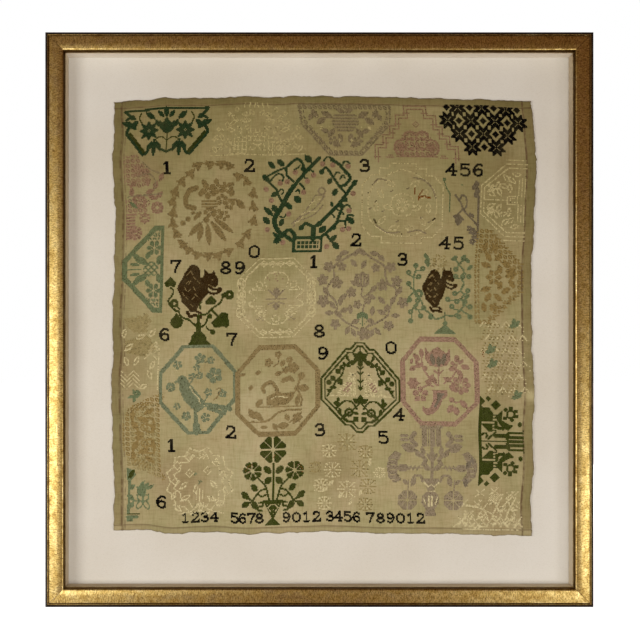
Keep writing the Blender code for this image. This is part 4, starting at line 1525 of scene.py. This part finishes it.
def tanOctagon():
    needle = Needle("tan", 163, 291)
    ring = ((-18, -43), (18, -43), (40, -19), (40, 17), (18, 43), (-18, 43), (-39, 23), (-39, -18))
    needle.line(*ring, wide=4, closed=True)
    # a swan on its nest
    needle.curve((-13, 1), (-14, -4), (-7, -8.5), (-2, -4), (0, 2), (-4, 6), wide=3.6)
    needle.fill((-10, 6), (0, 1), (8, 3), (18, 1), (15, 9), (9, 14), (-2, 15.5), (-10, 14))
    needle.line((-20, 16), (22, 16), wide=1.8)
    needle.leaves((-18, 12, 9, 5, 50), (20, 10, 12, 4.4, 80))
    needle.curve((23, 16), (24, 8), (20, -2), (23, -12), wide=1.8)
    needle.leaves(
        (24, -14, 8, 6, 60), (26, -2, 12, 6.4, -10), (1, -17, 8, 4.6, 20), (9, -11, 12, 4.4, 25),
        (14, -11, 8, 3.6, -40), (-19, -18, 6, 3.6, 30), (-26, -3, 6, 3.6, 60), (-34, -16, 5, 3, 20),
        (5, -27, 7, 4, 60), (19, -2, 7, 3.6, 70), (-22, 24, 13, 6, 0), (-17, 27, 8, 4, -40),
        (6, 35, 12, 6, 10), (-2, 36, 8, 4, 120), (10, 27, 7, 5, 120), (-26, 21, 8, 4, 130),
        (18, 30, 8, 3.6, 60), (-13, 36, 7, 3, 0),
    )  # fmt: skip
    for x, y, size in (
        (-9, -28, 4.4), (0.5, -36, 3.6), (12, -30, 3.4), (16, -22, 5.4), (8, -20, 3.8), (20, 27, 5),
    ):  # fmt: skip
        needle.bloom(x, y, size, 5, hole=1, depth=0.25)
    needle.curve((0, -34), (1, -28), (-4, -24), wide=1.3)
    needle.curve((12, -27), (10, -22), (4, -18), wide=1.3)
    needle.curve((-28, 31), (-10, 30), (3, 21), (24, 19), wide=1.8)
    needle.curve((12, 32), (18, 28), (24, 22), wide=1.3)
    pale = Needle("cream", 163, 291)
    pale.curve((-6, 8), (0, 6), (10, 7))
    Needle("brown", 163, 291).dot((-8, -7))


def greenOctagon():
    outer = (
        (0, -44), (4, -44), (9, -37.5), (14, -37.5), (38.5, -8), (38.5, 13), (14, 38), (9, 38), (3, 44.5),
        (0, 44.5),
    )  # fmt: skip
    inner = (
        (0, -40.5), (2.5, -40.5), (7.5, -34), (12, -34), (35, -7), (35, 11.5), (12.5, 34.5), (7.5, 34.5),
        (1.5, 41), (0, 41),
    )  # fmt: skip
    for flip in bothSides:
        needle = Needle("green", 245, 288, flip)
        needle.line(*outer, wide=1.8)
        needle.line(*inner, wide=1.6)
        needle.leaves((3.5, -30.5, 9, 4.4, 35), (4, -27, 7, 3.4, -20))
        for y, reach in ((-18, 3), (-13, 2.4), (-5, 2.4), (1, 2)):
            needle.line((0, y), (reach, y - 2), wide=1.3)
        needle.curve((13, -30), (11, -24), (16, -20), (18, -12), (24, -5), (33, 10), wide=1.6)
        needle.leaves(
            (8, -24, 7, 5, 0), (13, -29, 6, 3, 60), (16, -22, 6, 3, 60), (22, -15, 6.6, 5, 30),
            (20, -5, 7.6, 5.4, 60), (27, -8, 6, 4, 45), (31, -4, 6, 4.4, 60), (27, 1, 6, 3, 0),
            (19, -19, 5, 2.6, 100), (12, -21, 5, 3, 20), (31, 4, 5, 3, 40),
        )  # fmt: skip
        needle.curve((3, 22), (8, 15.5), (14, 14), (18, 16), (24, 22), wide=1.6)
        needle.disc(11, 25.5, 4.6, hole=2.4)
        needle.disc(11, 25.5, 1.3)
        needle.line((-2, 14), (5, 20.5), (15, 30), wide=1.5)
        needle.leaves(
            (4, 32, 7, 5.4, 50), (23, 17, 7, 4.4, 20), (20, 24, 6, 3, 60), (16, 30, 6, 3.4, -50),
            (4, 14, 8, 4, 30), (14, 33, 5, 3, 20), (4, 26, 5, 3, 30), (22, 13, 5, 3, 90),
        )  # fmt: skip
        dove = Needle("cream", 245, 288, flip)
        dove.only = seeded
        dove.disc(8, -11, 4)
        dove.fill((4, -8), (12, -10), (20, 2), (26, 10), (16, 11), (4, 8))
        dove.only = None
        dove.line((2, 9), (30, 9))
        blush = Needle("pink", 245, 288, flip, only=twill)
        blush.fill((8, -4), (13, -5), (17, 4), (12, 6))
        Needle("black", 245, 288, flip).dot((7.5, -12), (8.5, -12))
    middle = Needle("green", 245, 288)
    middle.line((0, -40), (0, 2), wide=1.6)
    middle.disc(0, -23.5, 2.8)
    middle.leaves((0, -31, 9, 7, 90), (0, 1, 5, 3.6, 90), (0, 12, 8, 5, 90))


def pinkOctagon():
    needle = Needle("pink", 323, 281)
    ring = ((-18, -42), (17, -42), (37, -20), (37, 20), (17, 42), (-17, 42), (-36, 20), (-36, -20))
    needle.line(*ring, wide=4, closed=True)
    bare = Needle("pink", 323, 281)
    bare.thread = -1
    for (ax, ay), (bx, by) in zip(ring, ring[1:] + ring[:1]):
        count = round(math.hypot(bx - ax, by - ay) / 5)
        for i in range(count):
            bare.dot((ax + (bx - ax) * i / count, ay + (by - ay) * i / count))
    # a tulip and other flowers from a horn
    needle.fill(
        (-14, -35), (-9, -28), (-5, -32), (0, -35), (4, -31), (8, -28), (12, -34), (12, -22), (8, -16),
        (0, -14), (-9, -16), (-13, -22),
    )  # fmt: skip
    violet = Needle("violet", 323, 281)
    violet.leaves((-6, -22, 12, 4, 100), (5, -22, 12, 4, 80), (0, -20, 11, 4, 90))
    needle.curve((0, -14), (-1, -4), (-1, 4), wide=1.6)
    needle.curve((-5, -11), (-1, -8), (4, -11), wide=1.5)
    needle.fill(
        (-7, 9), (8, 8), (8, 14), (3, 18), (0, 26), (-5, 32), (-11, 34), (-16, 29), (-17, 23), (-13, 27),
        (-9, 26), (-6, 18),
    )  # fmt: skip
    violet.fill((-2, 12), (5, 12), (1, 18), (-3, 26), (-6, 26), (-2, 17))
    needle.leaves(
        (-17, -28, 9, 4.4, 100), (-22, -24, 9, 4.4, 140), (-26, -13, 8, 4, 30), (-20, -16, 8, 4, 20),
        (-14, -13, 6, 5, 60), (-8, -3, 9, 5, 60), (-5, -1, 8, 4, 110), (-11, 1, 7, 4, 150),
        (18, -23, 8, 5, 80), (26, -15, 9, 5, -20), (13, -13, 7, 4.6, 20), (20, -9, 9, 4.4, -40),
        (8, -2, 9, 4, -30), (13, 7, 9, 4, -40), (24, 22, 11, 4.4, -45), (11, 27, 9, 5.4, 60),
        (17, 29, 9, 5.4, 110), (12, 18, 6, 4, 30), (-22, -20, 6, 3, 60), (22, -20, 6, 3, 40),
        (14, -18, 6, 3.4, 120), (-27, -20, 6, 3, 80),
    )  # fmt: skip
    needle.bloom(-26, 2, 6.2, 6, hole=2, depth=0.3)
    needle.leaf(-25, 2, 13, 3, 0)
    needle.bloom(-19, 13, 8, 5, hole=1.2, turn=90, depth=0.35, gap=0.4)
    needle.bloom(21, 3, 9.4, 8, hole=1.6, gap=0.4, depth=0.2)
    needle.curve((-17, -26), (-16, -14), (-10, -4), (-2, 4), wide=1.5)
    needle.curve((18, -18), (14, -6), (4, 2), wide=1.5)
    needle.curve((10, 16), (14, 20), (22, 20), wide=1.4)
    needle.curve((-20, 8), (-12, 4), (-6, 5), wide=1.4)


def greenFlowerPot():
    needle = Needle("green", 158.5, 382)
    needle.bloom(0, -32.5, 13.4, 8, hole=0, turn=22.5, depth=0.16, gap=0.55)
    needle.line((0, -19), (0, 18), wide=1.8)
    needle.thread = -1
    for x, y in ((1, 1), (1, -1), (-1, 1), (-1, -1)):
        needle.line((1.5 * x, 1.5 * y - 32.5), (8.5 * x, 8.5 * y - 32.5), wide=0.9)
    for flip in bothSides:
        side = Needle("green", 158.5, 382, flip)
        side.bloom(21, -11.5, 9.6, 7, hole=0, gap=0.5, depth=0.16, turn=20)
        side.leaves(
            (6, -12.4, 9.6, 6, 45), (5.5, -2, 9.6, 6, -45), (19, 5, 8.6, 5.4, 38), (28, 12.4, 9.6, 5.6, 45),
            (27.5, 21.6, 9.6, 5.4, -38), (18.4, 22, 9.6, 5.4, 62),
        )  # fmt: skip
        side.curve((16, -5), (8, 3.6), (4, 17), wide=1.7)
        side.curve((8, 6), (14, 9), (21, 18), (27, 22), wide=1.6)
        side.line((21, 18), (26, 14), wide=1.5)
        side.curve((7, 12), (11, 14), (15, 11), wide=1.5)
        side.line((0, 19), (8.4, 19), wide=3.4)
        side.fill((0, 21), (8, 21), (4, 30), (0, 37))
        side.curve((14, 20), (10, 20), (10, 23), (14, 24), (15, 27), (11, 28), wide=1.8)
        side.fill((0, 36), (1.5, 36), (8.5, 43), (0, 43))
        side.thread = -1
        side.line((2, 22), (5, 25), (2.4, 29))
        side.line((0, 22), (0, 22.6))
        side.dot((0, 27), (0, 31), (5.5, 22.4), (3.4, 32))
    rust = Needle("rust", 158.5, 382)
    rust.dot(
        (27, -15), (28, -13), (28, -10), (26, -17), (-27, -14), (-26, -16), (-28, -12), (-24, -17),
        (-22, -18), (1, -27), (0, -25),
    )  # fmt: skip
    blush = Needle("pink", 158.5, 382)
    blush.dot((24, -17), (26, -13), (-24, -14), (-25, -11), (-21, -16), (23, -14))


def fadedFlowerSpray():
    needle = Needle("cream", 85, 377)
    for x, y in ((-22, -12), (-10, -20), (4, -22), (17, -14), (24, -2), (-24, 4), (-10, -4), (8, -6)):
        needle.line((x - 4, y), (x, y - 4), (x + 4, y), (x, y + 4), closed=True)
        needle.dot((x, y))
    for x, y, angle in (
        (-16, 8, 40), (14, 8, 130), (-26, 18, 60), (26, 14, 120), (-14, 20, 20), (12, 22, 150),
        (-4, 12, 80), (20, 26, 30), (-22, 30, 140), (2, 30, 60),
    ):  # fmt: skip
        needle.leaf(x, y, 10, 4, angle, hollow=1)
    for rim in (34, 27):
        path = []
        for k in range(24):
            angle = math.pi * k / 12
            reach = rim if k % 2 else rim - 5
            path.append((reach * math.cos(angle), 4 + reach * math.sin(angle)))
        needle.line(*path, closed=True)
    needle.line((-3, 14), (-3, 22))
    needle.line((0, 12), (0, 24))
    needle.line((3, 14), (3, 22))
    needle.curve((-20, 36), (-8, 34), (0, 28), (12, 34), (24, 36))
    sea = Needle("sea", 85, 377)
    sea.dot((-5, -3), (-4, -4), (-3, -3), (-5, -2), (-1, 4), (0, 5), (1, 4), (2, 5), (0, 6), (-1, 7))


def fadedBush():
    # snowflake flowers of eight rays, fawn and cream in turn, nearly bleached away
    flowers = (
        (0, -27, 10), (-18, -18, 8), (18, -18, 8), (-15, 1, 9), (12, -1, 10), (-26, 16, 8), (21, 16, 9),
        (-22, 34, 8), (19, 34, 8), (0, 20, 10), (-32, -2, 6), (32, 2, 6),
    )  # fmt: skip
    needles = Needle("fawn", 232, 370), Needle("cream", 232, 370)
    for number, (x, y, size) in enumerate(flowers):
        for k in range(8):
            angle = math.pi * k / 4
            reach = size * (0.95 if k % 2 else 0.8)
            tip = x + reach * math.cos(angle), y + reach * math.sin(angle)
            ray = needles[number % 2]
            ray.line((x + 2 * math.cos(angle), y + 2 * math.sin(angle)), tip)
            ray.dot((tip[0] - 1, tip[1]), (tip[0] + 1, tip[1]))
            between = angle + math.pi / 8
            needles[1 - number % 2].dot((x + 4 * math.cos(between), y + 4 * math.sin(between)))
            ray.dot((x + 0.8 * size * math.cos(between), y + 0.8 * size * math.sin(between)))
    for x, y in ((-16, 14), (22, -8), (14, 22), (-6, 26), (4, 32), (-22, 20)):
        needles[1].leaf(x, y, 7, 2.6, 60 + x)


def greyVaseOfCarnations():
    for flip in bothSides:
        needle = Needle("mauve", 316, 369, flip)
        needle.fill((2, -42), (9.4, -42), (9.4, -23), (2, -23))
        for x in (2, 6, 10):
            needle.fill((x - 2.4, -41), (x + 2.4, -41), (x, -45))
        needle.line((3.8, -44), (11, -44))
        needle.line((24, -34), (30, -34), wide=2.6)
        needle.line((24, -30), (30, -30), wide=2.6)
        needle.curve((17, -36), (20, -31), (16, -25), wide=4.4)
        needle.leaf(23, -22, 15, 8, 20)
        needle.leaves(
            (9, -19, 9, 3.6, 80), (12, -15, 10, 4, 10), (8, -12, 8, 3.6, 40), (8, -7, 8, 3.6, 140),
            (15, -18, 7, 3, 50), (3, -13, 8, 3, 60), (6, -2, 8, 3, 40),
        )  # fmt: skip
        needle.line((0, 1), (9, -9), wide=1.7)
        needle.line((10, -2), (30, -2), wide=1.8)
        needle.leaf(29, -2, 13, 7, 0)
        for x in (13, 17, 21):
            needle.line((x, -4), (x + 2, 0))
        needle.fill(
            (30, -16), (36, -19), (43, -12), (45, -3), (43, 7), (37, 13), (30, 10), (34, 4), (35, -2),
            (34, -9),
        )  # fmt: skip
        needle.curve((20, 12), (17, 6), (11, 6), (9, 11), wide=2.4)
        needle.leaf(18, 12, 9, 4, -60)
        needle.line((23, 10), (23, 20), wide=1.6)
        needle.leaf(26, 12, 7, 3, 40)
        needle.bloom(23, 30, 10.4, 8, hole=0, turn=22.5, gap=0.45, depth=0.14)
        needle.fill((0, 9), (8, 9), (5, 16), (3, 20), (8, 26), (9, 32), (5, 38), (0, 40))
        needle.fill((0, 38), (4, 38), (6, 46), (0, 46))
        cream = Needle("cream", 316, 369, flip)
        cream.line((7, 12), (3, 17), (0, 14), wide=1.2)
        cream.line((0, 21), (4, 21), wide=1.4)
        cream.line((7, 27), (5, 34))
        cream.line((1.6, 26), (1.6, 36), wide=1.2)
    middle = Needle("mauve", 316, 369)
    middle.line((0, -42), (0, 10), wide=2)
    middle.leaf(0, -16, 9, 4, 90)
    bare = Needle("mauve", 316, 369)
    bare.thread = -1
    for x in (-4, 4):
        bare.line((x, -40), (x, -24), wide=0.8)
    for k in range(5):
        bare.line((-41, -10 + 5 * k), (-37, -10 + 5 * k), wide=0.8)
        bare.line((38, -12 + 5 * k), (41, -12 + 5 * k), wide=0.8)
    violet = Needle("violet", 316, 369)
    violet.leaves((36, -6, 10, 4, 60), (40, -10, 8, 3, 110), (34, 12, 9, 4, 90))
    violet.dot((34, 8), (36, 10), (33, 14), (36, 15))


sewNumerals()
greenHalfMedallion()
creamLatticeTriangle()
taupeHalfMedallion()
pinkSteps()
blackStars()
tanWreath()
tealTree()
creamMedallion()
lilacSprigs()
creamHalfMedallion()
pinkHalfMedallion()
tealHalfMedallion()
creamZigzag()
tanHalfMedallion()
greenCornerSprig()
brownHalfMedallion()
creamBesideSea()
darkGreenHalfMedallion()
creamBranch()
squirrel(88, 202, (1, 1), 1)
squirrelPlant()
squirrel(327, 199, (1, 1), 0.8, headUp=8)
seaVine()
creamOctagon()
mauveWreath()
blueOctagon()
tanOctagon()
greenOctagon()
pinkOctagon()
greenFlowerPot()
fadedFlowerSpray()
fadedBush()
greyVaseOfCarnations()
print("chart:", int((chart >= 0).sum()), "crosses")


# the stitches: for each cross an under strand and a raised over strand

stitch = {
    "strand": 0.29,  # half the strand's width
    "under": 0.16,
    "over": (0.14, 0.36),  # how high the strand on top stands at its ends and in the middle
    "reach": 0.96,  # of the cell
    "slant": (0.707, 0.806),  # across a strand at 45 degrees, and a cell's size in millimetres
    "sides": (-0.04, 0.12),  # how high its sides lie: at its ends, and half way where it is on top
    "jitter": 0.05,
    "uneven": 0.12,
    "shade": (0.62, 0.22),  # the mean and the spread of how pale a stitch is
}


def silk(name, code):
    # aged spun silk: nearly matt, and each stitch takes the dye and the light a little differently
    finish, tree, shader = newFinish(name + " silk", code, 0.9)
    shader.inputs["Specular IOR Level"].default_value = 0.12
    faded = grain(tree, (60, 60, 60), 3, 0.6)
    toned = ramp(tree, valueOf(tree, "shade"), [(0.0, "#8f8a80"), (0.5, "#e0ddd6"), (1.0, "#ffffff")])
    colour = mixColours(tree, "MULTIPLY", 1.0, code, toned)
    span = {"From Min": 0.45, "From Max": 0.75, "To Max": 0.10}
    bleached = addNode(tree, "MapRange", span, {"Value": faded})
    colour = mixColours(tree, "MIX", bleached.outputs["Result"], colour, cloth["linen"])
    # painted shade: the silk is made darker towards the top
    colour = paintedShadeTowardsTop(tree, colour)
    tree.links.new(colour, shader.inputs["Base Color"])
    ply = grain(tree, (2600, 2600, 2600), 1, 0.5)
    bumped(tree, shader, ply, 0.00008, 0.4)
    return finish


def buildStitches():
    across, down = cloth["crosses"]
    half, under, (overLow, over) = stitch["strand"], stitch["under"], stitch["over"]
    slant, cell = stitch["slant"]
    sideLow, sideHigh = stitch["sides"]
    pieces = []
    for number, name in enumerate(threadNames):
        row, column = np.nonzero(chart == number)
        count = len(row)
        if not count:
            continue
        wander = chance.normal(0, stitch["jitter"], (count, 2, 4))
        tall = 1 + chance.normal(0, stitch["uneven"], count)
        points = []
        for strand, (slope, sections) in enumerate(((1, (0.0, 1.0)), (-1, (0.0, 0.5, 1.0)))):
            for share in sections:
                middle = 1 - abs(2 * share - 1)
                lift = (under if strand == 0 else overLow + (over - overLow) * middle) * tall
                reach = (share - 0.5) * stitch["reach"]
                for side in (-1, 0, 1):
                    offX = reach + side * half * -slope * slant / cell + wander[:, strand, 0]
                    offY = reach * slope + side * half * slant / cell + wander[:, strand, 1]
                    edge = sideLow if middle < 0.5 else sideHigh * strand
                    points.append((offX, offY, lift if side == 0 else edge + 0 * lift))
        offX, offY, lift = (np.stack(values, -1) for values in zip(*points))
        sAcross = (column[:, None] + 0.5 + offX) / across
        sUp = 1 - (row[:, None] + 0.5 + offY) / down
        each = len(points)
        thick = hemThickness(sAcross, sUp)[0]
        verts = clothPoint(sAcross, sUp, thick + lift).reshape(-1, 3)
        quads = np.array([(i, i + 3, i + 4, i + 1) for i in (0, 1, 6, 7, 9, 10)])
        faces = (quads[None] + each * np.arange(count)[:, None, None]).reshape(-1, 4).tolist()
        piece = newPiece("crosses_" + name, verts.tolist(), faces, [silk(name, threads[name])])
        mean, spread = stitch["shade"]
        shade = np.clip(mean + chance.normal(0, spread, count), 0, 1)
        setValues(piece, "shade", np.repeat(shade, each))
        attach(piece, "root")
        pieces.append(piece)
        print("stitches:", name, count, "crosses")
    return pieces


buildStudio()
buildRails()
dressBoards()
linen = buildCloth()
crosses = buildStitches()
